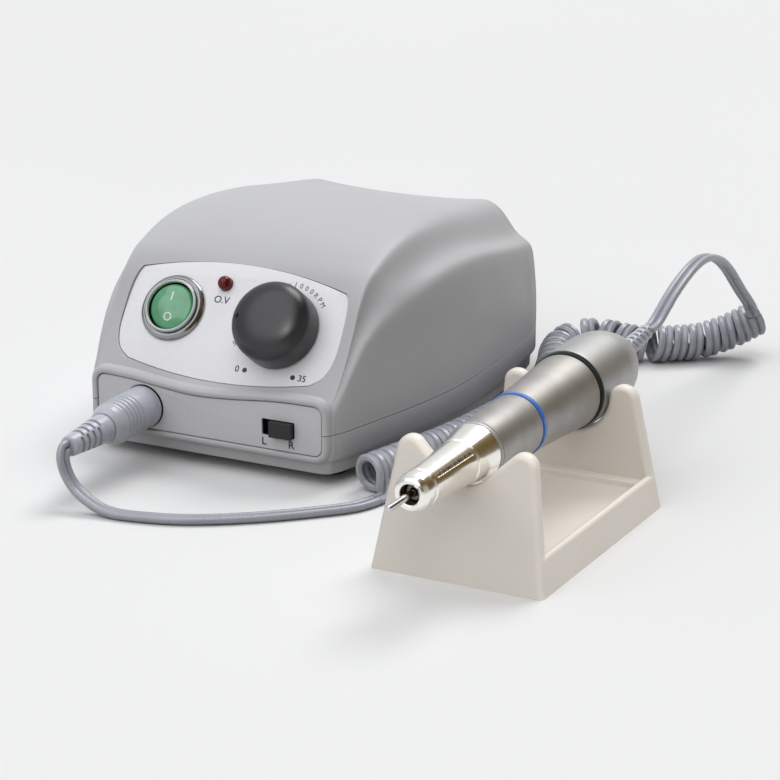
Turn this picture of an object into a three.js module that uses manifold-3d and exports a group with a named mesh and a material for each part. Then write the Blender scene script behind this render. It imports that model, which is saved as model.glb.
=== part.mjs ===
// Electric nail drill: a mains control box, a drill handpiece on a twin cord
// with a curly middle, and the cradle that the handpiece lies in.
// Millimetres, +Z up. The box front faces -Y and its middle plane is X = 0
// until the last lines move the origin to the middle of the footprint.
import * as THREE from "three";
import { mergeVertices } from "three/addons/utils/BufferGeometryUtils.js";
import Module from "manifold-3d";

const wasm = await Module();
wasm.setup();

// General fits
const gap = 0.3; // running and seating gap between two pieces
const overrun = 2; // how far a cutter passes the surface that it cuts
const throughWall = 12; // depth of the cutters that open the shell behind the plate
const farOut = 400; // reach of a slab that stands for everything below or above a height
const roundSteps = 24; // sides of a turned piece
const innerSteps = 12; // sides of a turned piece inside the housings
const plugSteps = 16; // sides of the plug, its boot and the feet
const wideSteps = 32; // sides of the knob and the switch ring

// Control box
const box = {
  halfWidth: 66.7, // widest half width, at the parting line
  depth: 160.3,
  frontY: -6.3,
  topHeight: 83, // top of the shell above the table
  wall: 2.6,
  footHeight: 6.2,
  partingZ: 20.7,
};
const base = { floor: 2.5, skirtHeight: 3.4, skirtOut: 0.8 };
const foot = { radius: 6, recess: 1, frontSide: 26.7, rearSide: 17.3, inset: 20 };
const screw = { headRadius: 3.2, headHeight: 1.6, radius: 1.5, length: 13, bossRadius: 3.6 };

// Front plate, on the leaning front of the box
const face = { drop: 40.2, rise: 6, thick: 1 };
const faceHalf_share = 0.682;
const faceTop_shares = [0.17405, 0.71428]; // where its top edge lies, over the depth and over the shell's height
const faceFoot_shares = [0.02807, 0.18963]; // and a point near its foot
const faceTopHalf_share = 0.938;
const faceShoulder_share = 0.065;
const faceFoot_share = 0.82;
const faceBottomHalf_share = 0.84;

// Round rocker switch
const rockerPlace_share = -0.5584; // where it sits across the plate, over the plate's half width
const rocker = {
  up: -14.7, bezelRadius: 12.9, bezelHeight: 2.8, neckRadius: 10, neckDepth: 6, lip: 0.9, bore: 9.4,
};
const rockerButton = { radius: 8.9, bottom: -2.9, top: 3.3, tilt: 6.5 };
const button_shares = [[0, 0], [0.6, 0], [0.94, 0.22], [1, 0.34], [1, 0.7], [0.9, 0.83], [0.5, 0.97], [0, 1]];
const rockerBody = { depth: 14, tabWidth: 6.3, tabThick: 0.8, tabLength: 8, tabPitch: 6.3 };

// Overload lamp
const lampPlace_share = -0.1473;
const lamp = { up: -2.6, radius: 2.5, rise: 1.6, depth: 7, flange: 3.1, flangeThick: 1 };

// Speed knob and its potentiometer
const knobPlace_share = 0.4594;
const knob = { up: -17, radius: 15.3, height: 16.4, hollowRadius: 11, hollowDepth: 5 };
const knob_shares = [[0, 0], [1, 0], [1, 0.55], [0.975, 0.72], [0.89, 0.88], [0.74, 0.96], [0.4, 1], [0, 1]];
const knobMark = { width: 1.6, depth: 0.8, length: 5 };
const pot = {
  radius: 12, depth: 9, bushRadius: 4.7, bushRise: 2.2, shaftRadius: 3, shaftRise: 12, setback: 3.2,
};
const potNut = { radius: 7, thick: 1.9 };

// Lower panel with the output socket and the direction switch
const panelHalf_share = 0.7032;
const panel = { bottomZ: 12.2, topZ: 30.6, dip: 3, thick: 0.8, corner: 3, sink: 0.4 };
const dip_shares = [[0.34, 0.55], [-0.12, 1], [-0.5, 0.4]];
const rim = { width: 2, proud: 1, space: 0.4 };
const plug = { x: -27.2, z: 20.6, radius: 8, length: 28, tipRadius: 6.2, shoulder: 4, shoulderDrop: 0.5 };
const plugBand = { count: 5, width: 1.3, depth: 0.45, pitch: 2.6, start: 9 };
const boot = { length: 23, radius: 5.2, tipRadius: 3.4, ribs: 5, ribDepth: 0.9 };
const ribStart_share = 0.25;
const ribRise_share = 0.38;
const ribEnd_share = 0.12;
const socket = { radius: 7.4, depth: 15, flange: 9, flangeThick: 2, bore: 5.8, boreDepth: 11 };
const plugPins = { radius: 5.3, length: 9, pinRadius: 0.7, pinCircle: 2.8, pinLength: 6, count: 4 };
const slide = { fromSide: 17.7, z: 20.4, slotWidth: 13.5, slotHeight: 6.3, width: 9, height: 5.7, proud: 2.6 };
const slideBody = { width: 22, height: 9, depth: 7, well: 3 };

// Inside the box
const core = { width: 58, height: 48, depth: 22, leg: 12, fromRear: 36 };
const windingProud = 8;
const board = { width: 88, thick: 1.6, lift: 9, fromFront: 37.3, fromCore: 6, postRadius: 3, postInset: 6 };
const capacitor = { radius: 9, height: 26, x: 26 };
const heatSink = { width: 34, depth: 16, height: 22, plate: 3, fins: 5, finThick: 1.6, x: -20 };
const capacitorPlace_share = 0.226; // how far behind the middle of the board it stands, over its depth
const heatSinkPlace_share = 0.194;

// Rear panel
const rear = { fromSide: 13.7, bottomZ: 9.6, topZ: 46, thick: 1.6, border: 1.2 };
const inlet = {
  x: -24, z: 28, width: 30, height: 24, flange: 2, depth: 18, wellWidth: 24.4, wellHeight: 16.6, wellDepth: 15.5,
};
const inletPin = { width: 2, height: 4, length: 12, pitch: 7, drop: 2 };
const jack = { x: 8, z: 28, radius: 6.5, rise: 2.4, bodyRadius: 5.4, depth: 16, bore: 1.8, boreDepth: 12 };
const fuse = {
  fromSide: 20.3, z: 17.4, flange: 6.6, flangeThick: 2, bodyRadius: 4.6, depth: 14, capRadius: 6.1, capRise: 13,
  capRound: 1, slotLength: 8.6, slotWidth: 1.5,
};

// Handpiece, turned about its own axis; stations count from the nose
const hand = { x: 129, frontY: -67.2, yaw: -1.1, axisZ: 42.1, noseY: -32.6 };
const nose = {
  length: 46.4, radius: 9.8, seatRadius: 9.3, mouth: 3.3, bore: 5.2, boreStart: 12, bearingBore: 6.8, seat: 33.7,
};
const bezelRing = { length: 1.8, radius: 10.1, bore: 7.2 };
const twist = { length: 28.1, radius: 11.1, bore: 7.6 };
const colourRing = { length: 1.8, radius: 11.5, bore: 8.2 };
const grip = { length: 38.7, radius: 13.7, bore: 9.9 };
const seal = { length: 1.8, radius: 14.1, bore: 9.9 };
const motorCase = { length: 45, radius: 14.65, bore: 12.9, mouth: 4.2, nose: 3 };
const relief = { length: 30, radius: 3.7, tipRadius: 2.8, tilt: 6, inside: 4, ribs: 7 };

const rootRadius_share = 0.8;
const groove_shares = [0.6, 0.7, 0.9]; // where a groove begins, is deep and ends in one rib's pitch
const groove_share = 0.84; // radius in a groove

// Handpiece, inside
const collet = { start: 3, length: 27, radius: 3, rootRadius: 4.4, bore: 1.5 };
const colletStep = 1.5;
const bit = { shank: 1.175, out: 14.4, inside: 22, tip: 0.8, chamfer: 0.5 };
const cam = { start: 54, length: 9, radius: 7.2, bore: 4.9 };
const spindle = { radius: 2.5, end: 151.2, headRadius: 4.4, headEnd: 33.2 };
const frontBearingWidth = 6;
const middleBearing = { start: 84, width: 5, radius: 9.5 };
const stator = { start: 122, length: 22, wall: 3.2 };
const rotor = { radius: 9, inset: 2 };
const commutator = { end: 148, radius: 4.6 };
const endBell = { start: 145.2, length: 6.4, radius: 11.1, bore: 8.4 };
const brush = { width: 3, length: 2.8, height: 3 };
const rearBearing = { width: 2.4, radius: 7.6 };

// Cradle
const cradle = {
  halfWidth: 32, depth: 100.8, wallHeight: 13, trayZ: 9, skin: 2.6, corner: 2.6,
  endWall: 5.4, lean: 9, sideLean: 8, prongX: 20.5, prongTop: 46.4, prongRadius: 5.2,
  ledge: 4.6, ledgeRise: 3,
};

// Twin cord
const cord = { width: 5.6, thick: 3.2, tube: 3.4 };
const tightest_share = 0.6; // most that a bend may squeeze the curls on its inside
const curl = { radius: 6.1, pitch: 6.05, steps: 8, sides: 5 };

// Section table of the shell, front to rear, as shares: station over the depth,
// crown height, then the inner ridge, the valley and the shoulder as half width
// and height pairs, the half width at the parting line, and how far the crown's
// arch leans to the ridge.
const section_shares = [
  [0.0, 0.093, 0.66, 0.093, 0.69, 0.078, 0.705, 0.061, 0.712, 0],
  [0.007, 0.138, 0.705, 0.14, 0.724, 0.117, 0.739, 0.093, 0.747, 0],
  [0.021, 0.169, 0.727, 0.178, 0.744, 0.166, 0.765, 0.142, 0.771, 0],
  [0.046, 0.253, 0.742, 0.266, 0.753, 0.254, 0.78, 0.23, 0.795, 0],
  [0.077, 0.364, 0.75, 0.39, 0.759, 0.371, 0.798, 0.342, 0.814, 0],
  [0.114, 0.499, 0.745, 0.544, 0.765, 0.495, 0.816, 0.454, 0.837, 0],
  [0.145, 0.612, 0.741, 0.673, 0.765, 0.583, 0.831, 0.519, 0.855, 0],
  [0.174, 0.714, 0.735, 0.759, 0.768, 0.65, 0.846, 0.566, 0.871, 0],
  [0.201, 0.795, 0.73, 0.811, 0.772, 0.711, 0.859, 0.598, 0.888, 0.2],
  [0.245, 0.878, 0.724, 0.855, 0.78, 0.764, 0.882, 0.636, 0.912, 0.4],
  [0.308, 0.948, 0.717, 0.909, 0.792, 0.801, 0.912, 0.677, 0.945, 0.55],
  [0.395, 0.992, 0.705, 0.947, 0.801, 0.827, 0.939, 0.72, 0.979, 0.6],
  [0.501, 1, 0.69, 0.955, 0.807, 0.828, 0.949, 0.731, 1, 0.6],
  [0.638, 0.968, 0.667, 0.931, 0.807, 0.785, 0.946, 0.705, 0.996, 0.6],
  [0.775, 0.904, 0.637, 0.878, 0.795, 0.717, 0.927, 0.644, 0.979, 0.6],
  [0.888, 0.828, 0.6, 0.84, 0.775, 0.667, 0.903, 0.592, 0.949, 0.6],
  [0.956, 0.778, 0.577, 0.813, 0.759, 0.641, 0.882, 0.56, 0.924, 0.6],
  [0.988, 0.752, 0.57, 0.784, 0.747, 0.609, 0.859, 0.525, 0.894, 0.6],
  [1.0, 0.703, 0.555, 0.727, 0.72, 0.559, 0.825, 0.478, 0.847, 0.6],
];

// Where three more section points lie, as shares of the ridge, the shoulder and the way between two points
const inner_share = 0.45;
const flank_share = 0.86;
const brow_shares = [0.55, 0.26]; // the ridge's outer round, over the way out and the way down to the valley

// Solid helpers

function bare(geometry) {
  const plain = geometry.clone();
  plain.deleteAttribute("normal");
  plain.deleteAttribute("uv");
  return mergeVertices(plain);
}

function solid(geometry) {
  const merged = bare(geometry);
  return new wasm.Manifold(new wasm.Mesh({
    numProp: 3,
    vertProperties: new Float32Array(merged.attributes.position.array),
    triVerts: new Uint32Array(merged.index.array),
  }));
}

function geometryOf(body) {
  const mesh = body.getMesh();
  const geometry = new THREE.BufferGeometry();
  geometry.setAttribute("position", new THREE.BufferAttribute(new Float32Array(mesh.vertProperties), 3));
  geometry.setIndex(new THREE.BufferAttribute(new Uint32Array(mesh.triVerts), 1));
  geometry.computeVertexNormals();
  return geometry;
}

function joined(first, ...others) {
  return others.reduce((body, other) => body.add(solid(other)), solid(first));
}

function cut(body, ...cutters) {
  return cutters.reduce((rest, cutter) => rest.subtract(solid(cutter)), body);
}

function block(width, depth, height, x, y, bottom) {
  return new THREE.BoxGeometry(width, depth, height).translate(x, y, bottom + height / 2);
}

// A turned piece about Y from [radius, station] points
function turned(points, steps = roundSteps) {
  return new THREE.LatheGeometry(points.map(([r, s]) => new THREE.Vector2(r, s)), steps);
}

// The same about Z
function turnedUp(points, steps = roundSteps) {
  return turned(points, steps).rotateX(Math.PI / 2);
}

function rod(radius, from, to, steps = innerSteps) {
  return turned([[0, from], [radius, from], [radius, to], [0, to]], steps);
}

function rodUp(radius, from, to, steps = innerSteps) {
  return turnedUp([[0, from], [radius, from], [radius, to], [0, to]], steps);
}

function ring(inner, outer, from, to, steps = innerSteps) {
  return turned([[inner, from], [outer, from], [outer, to], [inner, to], [inner, from]], steps);
}

function ringUp(inner, outer, from, to, steps = innerSteps) {
  return ring(inner, outer, from, to, steps).rotateX(Math.PI / 2);
}

function extruded(points, depth, steps = 1) {
  const shape = new THREE.Shape(points.map(([x, y]) => new THREE.Vector2(x, y)));
  return new THREE.ExtrudeGeometry(shape, { depth, bevelEnabled: false, curveSegments: steps });
}

// Points of an arc about a centre, angles in degrees
function arc(x, y, radius, from, to, steps) {
  return Array.from({ length: steps + 1 }, (_, i) => {
    const turn = THREE.MathUtils.degToRad(from + ((to - from) * i) / steps);
    return [x + radius * Math.cos(turn), y + radius * Math.sin(turn)];
  });
}

const drill = new THREE.Group();
const cordNames = new Set();

function piece(name, body, look, group = drill) {
  const geometry = body.isBufferGeometry ? body : geometryOf(body);
  const mesh = new THREE.Mesh(geometry, new THREE.MeshStandardMaterial(look));
  mesh.name = name;
  group.add(mesh);
  return mesh;
}

// Looks
const greyShell = { color: 0xb9b9bc, roughness: 0.5, metalness: 0 };
const silverSheet = { color: 0xe2e2e6, roughness: 0.35, metalness: 0.3 };
const darkKnob = { color: 0x3c3c3e, roughness: 0.6, metalness: 0 };
const blackPlastic = { color: 0x161617, roughness: 0.5, metalness: 0 };
const chrome = { color: 0xdcdcdf, roughness: 0.12, metalness: 1 };
const satinSteel = { color: 0xc9c6c1, roughness: 0.38, metalness: 1 };
const brightSteel = { color: 0xbfc1c4, roughness: 0.25, metalness: 1 };
const copper = { color: 0xa8613a, roughness: 0.4, metalness: 0.9 };
const greenLens = { color: 0x57a373, roughness: 0.25, metalness: 0 };
const redLens = { color: 0x6e0a0f, roughness: 0.15, metalness: 0 };
const boardGreen = { color: 0x1f5a37, roughness: 0.6, metalness: 0 };
const coreSteel = { color: 0x55585c, roughness: 0.5, metalness: 0.8 };
const warmPlastic = { color: 0xd9d3cb, roughness: 0.5, metalness: 0 };
const cordGrey = { color: 0x9a9ca6, roughness: 0.55, metalness: 0 };
const blueBand = { color: 0x3f78d6, roughness: 0.35, metalness: 0.2 };
const rubber = { color: 0x262627, roughness: 0.85, metalness: 0 };

// Shell of the control box

const shellHeight = box.topHeight - box.partingZ;
const rearY = box.frontY + box.depth;
const coreY = rearY - core.fromRear;
const boardFront = box.frontY + board.fromFront;
const boardDepth = coreY - core.depth / 2 - windingProud - board.fromCore - boardFront;
const boardY = boardFront + boardDepth / 2;
const plateHalf = box.halfWidth * faceHalf_share;
const rockerX = plateHalf * rockerPlace_share;
const lampX = plateHalf * lampPlace_share;
const knobX = plateHalf * knobPlace_share;
const panelHalf = box.halfWidth * panelHalf_share;
const slideX = panelHalf - slide.fromSide;
const fuseX = box.halfWidth - fuse.fromSide;
const rearHalf = box.halfWidth - rear.fromSide;

// One half section of the shell from the crown to the parting line
function sectionPoints(row, inset) {
  const [, crown, ridgeX, ridgeZ, valleyX, valleyZ, shoulderX, shoulderZ, footX, arch] = row;
  const lift = (ridgeZ - crown) * arch;
  const raw = [
    [0, crown],
    [ridgeX * inner_share, crown + lift * inner_share * inner_share],
    [ridgeX * flank_share, crown + lift],
    [ridgeX, ridgeZ],
    [ridgeX + (valleyX - ridgeX) * brow_shares[0], ridgeZ + (valleyZ - ridgeZ) * brow_shares[1]],
    [valleyX, valleyZ],
    [shoulderX, shoulderZ],
    [shoulderX + (footX - shoulderX) * inner_share, shoulderZ * flank_share],
    [footX, shoulderZ * inner_share],
    [footX, 0],
  ];
  return raw.map(([x, z]) => [
    Math.max(x * box.halfWidth - inset * Math.min(1, x / ridgeX), 0),
    Math.max(z * shellHeight - (z > 0 ? inset : 0), 0),
  ]);
}

// A closed loft through whole sections; inset shrinks it evenly for the hollow
function shellSolid(inset, bottomZ, finer) {
  const rows = finer ? section_shares : section_shares.filter((_, i) => i % 2 === 0);
  const rings = rows.map((row) => {
    const half = sectionPoints(row, inset);
    const curve = new THREE.SplineCurve(half.map(([x, z]) => new THREE.Vector2(x, z)));
    const count = (half.length - 1) * (finer ? 2 : 1);
    const side = curve.getPoints(count).map((p) => [Math.max(p.x, 0), Math.max(p.y, 0)]);
    const y = box.frontY + inset + row[0] * (box.depth - inset * 2);
    const loop = [...side.slice(1).map(([x, z]) => [-x, z]).reverse(), ...side];
    return loop.map(([x, z]) => [x, y, z > 0 ? box.partingZ + z : bottomZ]);
  });
  return loft(rings);
}

// Joins rings of equal length and closes the two ends with fans
function loft(rings) {
  const size = rings[0].length;
  const vertices = rings.flat(2);
  const faces = [];
  for (let k = 0; k < rings.length - 1; k++) {
    for (let i = 0; i < size; i++) {
      const a = k * size + i;
      const b = k * size + ((i + 1) % size);
      faces.push(a, b, b + size, a, b + size, a + size);
    }
  }
  capRing(rings[0], 0, false, vertices, faces);
  capRing(rings[rings.length - 1], (rings.length - 1) * size, true, vertices, faces);
  const geometry = new THREE.BufferGeometry();
  geometry.setAttribute("position", new THREE.Float32BufferAttribute(vertices, 3));
  geometry.setIndex(faces);
  return geometry;
}

function capRing(loop, offset, forward, vertices, faces) {
  const middle = [0, 1, 2].map((axis) => loop.reduce((sum, p) => sum + p[axis], 0) / loop.length);
  const centre = vertices.length / 3;
  vertices.push(...middle);
  loop.forEach((_, i) => {
    const a = offset + i;
    const b = offset + ((i + 1) % loop.length);
    faces.push(centre, ...(forward ? [a, b] : [b, a]));
  });
}

// Plan outline of the box at the parting line, grown or drawn in by an amount
function planOutline(grow) {
  const side = section_shares.map((row) => [
    row[8] * box.halfWidth + grow,
    box.frontY - grow + row[0] * (box.depth + grow * 2),
  ]);
  return [...side, ...side.map(([x, y]) => [-x, y]).reverse()];
}

// Place in Y and Z from shares of the box's depth and of the shell's height
function onShell([along, up]) {
  return [box.frontY + along * box.depth, box.partingZ + up * shellHeight];
}

// Front plate frame: X right, Y up the plate, Z out of it
function faceGroup() {
  const group = new THREE.Group();
  const [topY, topZ] = onShell(faceTop_shares);
  const [footY, footZ] = onShell(faceFoot_shares);
  group.position.set(0, topY, topZ);
  group.rotation.x = Math.atan2(topZ - footZ, topY - footY);
  group.updateMatrix();
  return group;
}
const front = faceGroup();
drill.add(front);

function onFace(geometry) {
  return geometry.applyMatrix4(front.matrix);
}

function faceOutline(grow) {
  const topHalf = plateHalf * faceTopHalf_share + grow;
  const half = plateHalf + grow;
  const shoulder = plateHalf * faceShoulder_share;
  const footUp = -face.drop * faceFoot_share;
  const footHalf = plateHalf * faceBottomHalf_share + grow;
  const top = new THREE.QuadraticBezierCurve(
    new THREE.Vector2(topHalf, grow),
    new THREE.Vector2(0, face.rise * 2 + grow),
    new THREE.Vector2(-topHalf, grow));
  const bottom = new THREE.QuadraticBezierCurve(
    new THREE.Vector2(-footHalf, footUp - grow - shoulder),
    new THREE.Vector2(0, -face.drop * 2 - footUp + shoulder - grow),
    new THREE.Vector2(footHalf, footUp - grow - shoulder));
  const halfRound = face.drop / 2;
  const side = (sign) => [
    [sign * (topHalf + shoulder / 2), -shoulder],
    [sign * half, -halfRound + shoulder * 2],
    [sign * half, -halfRound - shoulder],
    [sign * (half - shoulder / 2), footUp + shoulder],
  ];
  const steps = 8;
  return [
    ...top.getPoints(steps).map((p) => [p.x, p.y]),
    ...side(-1),
    ...bottom.getPoints(steps).map((p) => [p.x, p.y]),
    ...side(1).reverse(),
  ];
}

function facePlate() {
  const sheet = extruded(faceOutline(0), face.thick).translate(0, 0, -face.thick);
  const plate = cut(solid(sheet),
    rodUp(rocker.neckRadius + gap, -face.thick - overrun, overrun, wideSteps).translate(rockerX, rocker.up, 0),
    rodUp(lamp.radius + gap, -face.thick - overrun, overrun).translate(lampX, lamp.up, 0),
    rodUp(pot.bushRadius + gap, -face.thick - overrun, overrun).translate(knobX, knob.up, 0));
  piece("face_plate", plate, silverSheet, front);
}

// Lower panel outline in X and Z, with a dip in the middle of its top edge
function panelOutline(grow) {
  const half = panelHalf + grow;
  const c = panel.corner;
  const low = panel.bottomZ - grow;
  const high = panel.topZ + grow;
  const corners = 3;
  return [
    ...arc(-half + c, low + c, c, 180, 270, corners),
    ...arc(half - c, low + c, c, 270, 360, corners),
    ...arc(half - c, high - c, c, 0, 90, corners),
    ...dip_shares.map(([x, drop]) => [x * panelHalf, high - drop * panel.dip]),
    ...arc(-half + c, high - c, c, 90, 180, corners),
  ];
}

// Turns an outline in X and Z into a slab between two places in Y
function slabY(points, from, to) {
  return extruded(points, to - from).rotateX(Math.PI / 2).translate(0, to, 0);
}

const panelFaceY = box.frontY - panel.sink;

const potTop = -face.thick - pot.setback;

// Room that the panel takes up, and the window behind it
function panelSeat() {
  return slabY(panelOutline(rim.space), box.frontY - overrun, panelFaceY + panel.thick + gap);
}

function panelWindow() {
  return slabY(panelOutline(-rim.width), box.frontY - overrun, box.frontY + box.wall * 3);
}

function rimRing() {
  const back = box.frontY + box.wall;
  const outer = slabY(panelOutline(rim.space + rim.width), box.frontY - rim.proud, back);
  const clear = box.frontY - rim.proud - overrun;
  const hole = slabY(panelOutline(rim.space), clear, panelFaceY + panel.thick + gap);
  const opening = slabY(panelOutline(-rim.width), clear, back + overrun);
  return solid(outer).subtract(solid(hole)).subtract(solid(opening));
}

function halfSpace(from, to) {
  return solid(block(farOut, farOut, to - from, 0, 0, from));
}

function rearPanelCutters() {
  const back = rearY - box.wall * 2;
  const seat = block((rearHalf + gap) * 2, rear.thick + gap, rear.topZ - rear.bottomZ + gap * 2,
    0, rearY - (rear.thick + gap) / 2 + gap, rear.bottomZ - gap);
  const window = block((rearHalf - rear.border) * 2, rearY - back + overrun * 2,
    rear.topZ - rear.bottomZ - rear.border * 2, 0, (rearY + back) / 2, rear.bottomZ + rear.border);
  return [seat, window];
}

const screwPlaces = [-1, 1].flatMap((side) => [
  [side * (box.halfWidth - foot.frontSide), box.frontY + foot.inset],
  [side * (box.halfWidth - foot.rearSide), rearY - foot.inset],
]);
const bossTop = box.partingZ + screw.length;

function upperHousing() {
  const outer = solid(shellSolid(0, box.partingZ, true));
  const hollow = solid(shellSolid(box.wall, box.partingZ - overrun, false));
  let shell = outer.subtract(hollow);
  for (const [x, y] of screwPlaces) {
    const post = solid(rodUp(screw.bossRadius, box.partingZ, box.topHeight).translate(x, y, 0));
    shell = shell.add(post.intersect(outer));
    shell = cut(shell, rodUp(screw.radius + gap, 0, bossTop).translate(x, y, 0));
  }
  const cutters = [
    extruded(faceOutline(gap), overrun * 2).translate(0, 0, -face.thick - gap),
    rodUp(rocker.neckRadius + gap, -throughWall, overrun, wideSteps).translate(rockerX, rocker.up, 0),
    rodUp(lamp.flange + gap, -throughWall, overrun).translate(lampX, lamp.up, 0),
    rodUp(pot.bushRadius + gap, -throughWall, overrun).translate(knobX, knob.up, 0),
    rodUp(pot.radius + gap, potTop - pot.depth - gap, potTop + gap).translate(knobX, knob.up, 0),
  ].map(onFace);
  shell = cut(shell, panelWindow(), panelSeat());
  const upperRim = rimRing().intersect(halfSpace(box.partingZ, box.topHeight));
  shell = cut(shell.add(upperRim), ...cutters, socketClearance(), ...rearPanelCutters());
  piece("upper_housing", shell, greyShell);
}

function baseHousing() {
  const top = box.partingZ - gap;
  const bottom = box.footHeight;
  const body = extruded(planOutline(0), top - bottom).translate(0, 0, bottom);
  const skirt = extruded(planOutline(base.skirtOut), base.skirtHeight).translate(0, 0, bottom);
  const hollow = extruded(planOutline(-box.wall), top).translate(0, 0, bottom + base.floor);
  let tray = cut(joined(body, skirt), hollow, panelWindow(), panelSeat());
  tray = cut(tray.add(rimRing().intersect(halfSpace(bottom + base.skirtHeight, top))), socketClearance());
  for (const [x, y] of screwPlaces) {
    tray = tray.add(solid(rodUp(screw.bossRadius, bottom, top).translate(x, y, 0)));
    tray = cut(tray, rodUp(screw.radius + gap, 0, box.partingZ).translate(x, y, 0));
    tray = cut(tray, rodUp(foot.radius + gap, 0, bottom + foot.recess + gap, plugSteps).translate(x, y, 0));
  }
  const postTop = bottom + base.floor + board.lift - gap;
  for (const [x, y] of boardPosts()) {
    tray = tray.add(solid(rodUp(board.postRadius, bottom, postTop).translate(x, y, 0)));
  }
  tray = cut(tray, ...rearPanelCutters());
  piece("base_housing", tray, greyShell);
}

function feetAndScrews() {
  screwPlaces.forEach(([x, y], i) => {
    const headZ = box.footHeight - screw.headHeight - gap;
    const rubberFoot = cut(solid(rodUp(foot.radius, 0, box.footHeight + foot.recess, plugSteps)),
      rodUp(screw.headRadius + gap, -overrun, headZ + screw.headHeight + gap),
      rodUp(screw.radius + gap, 0, box.partingZ));
    const seated = piece(`rubber_foot_${i + 1}`, rubberFoot, rubber);
    seated.position.set(x, y, 0);
    const shank = [
      [0, headZ], [screw.headRadius, headZ], [screw.headRadius, headZ + screw.headHeight],
      [screw.radius, headZ + screw.headHeight], [screw.radius, bossTop - gap], [0, bossTop - gap],
    ];
    piece(`housing_screw_${i + 1}`, turnedUp(shank, innerSteps), brightSteel).position.set(x, y, 0);
  });
}

function rimPanel() {
  const sheet = slabY(panelOutline(0), panelFaceY, panelFaceY + panel.thick);
  const hole = rod(plug.radius + gap, panelFaceY - overrun, panelFaceY + overrun, roundSteps);
  const slot = block(slide.slotWidth, overrun * 2, slide.slotHeight, slideX, panelFaceY,
    slide.z - slide.slotHeight / 2);
  const plate = cut(solid(sheet), hole.translate(plug.x, 0, plug.z), slot);
  piece("lower_panel", plate, silverSheet);
}

// Switch, lamp and knob on the front plate

function rockerSwitch() {
  const { bezelRadius, bezelHeight, neckRadius, neckDepth, lip, bore } = rocker;
  const bezel = turnedUp([
    [bore, -neckDepth], [neckRadius, -neckDepth], [neckRadius, gap], [bezelRadius, gap],
    [bezelRadius, lip], [bezelRadius - lip, bezelHeight - lip / 2], [bore + lip, bezelHeight],
    [bore, bezelHeight - lip / 2], [bore, -neckDepth],
  ], wideSteps);
  piece("switch_bezel", bezel, chrome, front).position.set(rockerX, rocker.up, 0);

  const top = -neckDepth - gap;
  let body = joined(rodUp(neckRadius, top - rockerBody.depth, top));
  for (const side of [-1, 0, 1]) {
    body = body.add(solid(block(rockerBody.tabWidth, rockerBody.tabThick, rockerBody.tabLength + overrun,
      0, side * rockerBody.tabPitch, top - rockerBody.depth - rockerBody.tabLength)));
  }
  piece("switch_body", body, blackPlastic, front).position.set(rockerX, rocker.up, 0);

  const { radius, bottom, top: crown, tilt } = rockerButton;
  const outline = button_shares.map(([r, h]) => [r * radius, bottom + h * (crown - bottom)]);
  const button = turnedUp(outline, roundSteps);
  const cap = piece("rocker_button", button, greenLens, front);
  cap.position.set(rockerX, rocker.up, 0);
  cap.rotation.x = THREE.MathUtils.degToRad(tilt);
}

function overloadLamp() {
  const { radius, rise, depth, flange, flangeThick } = lamp;
  const back = -face.thick - gap;
  const dome = arc(0, rise, radius, 0, 90, 4);
  const lens = turnedUp([
    [0, -depth], [radius, -depth], [radius, back - flangeThick], [flange, back - flangeThick],
    [flange, back], [radius, back], ...dome,
  ], innerSteps);
  piece("overload_lamp", lens, redLens, front).position.set(lampX, lamp.up, 0);
}

function speedControl() {
  const place = (mesh) => mesh.position.set(knobX, knob.up, 0);
  const body = joined(rodUp(pot.radius, potTop - pot.depth, potTop),
    rodUp(pot.bushRadius, potTop - overrun, pot.bushRise));
  const bored = cut(body, rodUp(pot.shaftRadius + gap, potTop - pot.depth / 2, pot.bushRise + overrun));
  place(piece("potentiometer_body", bored, brightSteel, front));
  place(piece("potentiometer_shaft",
    rodUp(pot.shaftRadius, potTop - pot.depth / 2 + gap, pot.shaftRise), brightSteel, front));
  const nut = cut(solid(rodUp(potNut.radius, gap, gap + potNut.thick, 6)),
    rodUp(pot.bushRadius + gap, 0, pot.bushRise + overrun));
  place(piece("potentiometer_nut", nut, brightSteel, front));

  const { radius, height, hollowRadius, hollowDepth } = knob;
  const bottom = gap * 2;
  const profile = knob_shares.map(([r, h]) => [r * radius, bottom + h * (height - bottom)]);
  const cap = cut(solid(turnedUp(profile, wideSteps)),
    rodUp(hollowRadius, -overrun, bottom + hollowDepth),
    rodUp(pot.shaftRadius + gap, 0, pot.shaftRise + gap),
    block(knobMark.length, knobMark.width, height, -radius, 0, bottom + hollowDepth));
  place(piece("speed_knob", cap, darkKnob, front));
}

// Output socket and direction switch behind the lower panel

const socketY = panelFaceY + panel.thick + gap;

function socketClearance() {
  const room = rod(socket.flange + gap, socketY - gap, socketY + socket.depth + overrun);
  return room.translate(plug.x, 0, plug.z);
}

function outputSocket() {
  const back = socketY;
  const { radius, depth, flange, flangeThick, bore, boreDepth } = socket;
  const barrel = joined(rod(flange, back, back + flangeThick), rod(radius, back, back + depth));
  const open = cut(barrel, rod(bore, back - overrun, back + boreDepth));
  piece("output_socket", open, blackPlastic).position.set(plug.x, 0, plug.z);
}

function directionSwitch() {
  const back = panelFaceY + panel.thick + gap;
  const body = block(slideBody.width, slideBody.depth, slideBody.height, slideX, back + slideBody.depth / 2,
    slide.z - slideBody.height / 2);
  const well = block(slide.slotWidth, slideBody.well * 2, slide.slotHeight, slideX, back,
    slide.z - slide.slotHeight / 2);
  piece("direction_switch_body", cut(solid(body), well), blackPlastic);
  const travel = (slide.slotWidth - slide.width) / 2 - gap;
  const reach = slideBody.well - gap + panel.thick + gap + slide.proud;
  const nub = block(slide.width, reach, slide.height, slideX + travel, panelFaceY - slide.proud + reach / 2,
    slide.z - slide.height / 2);
  piece("direction_slider", nub, blackPlastic);
}

// Transformer, circuit board and what stands on it

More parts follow.
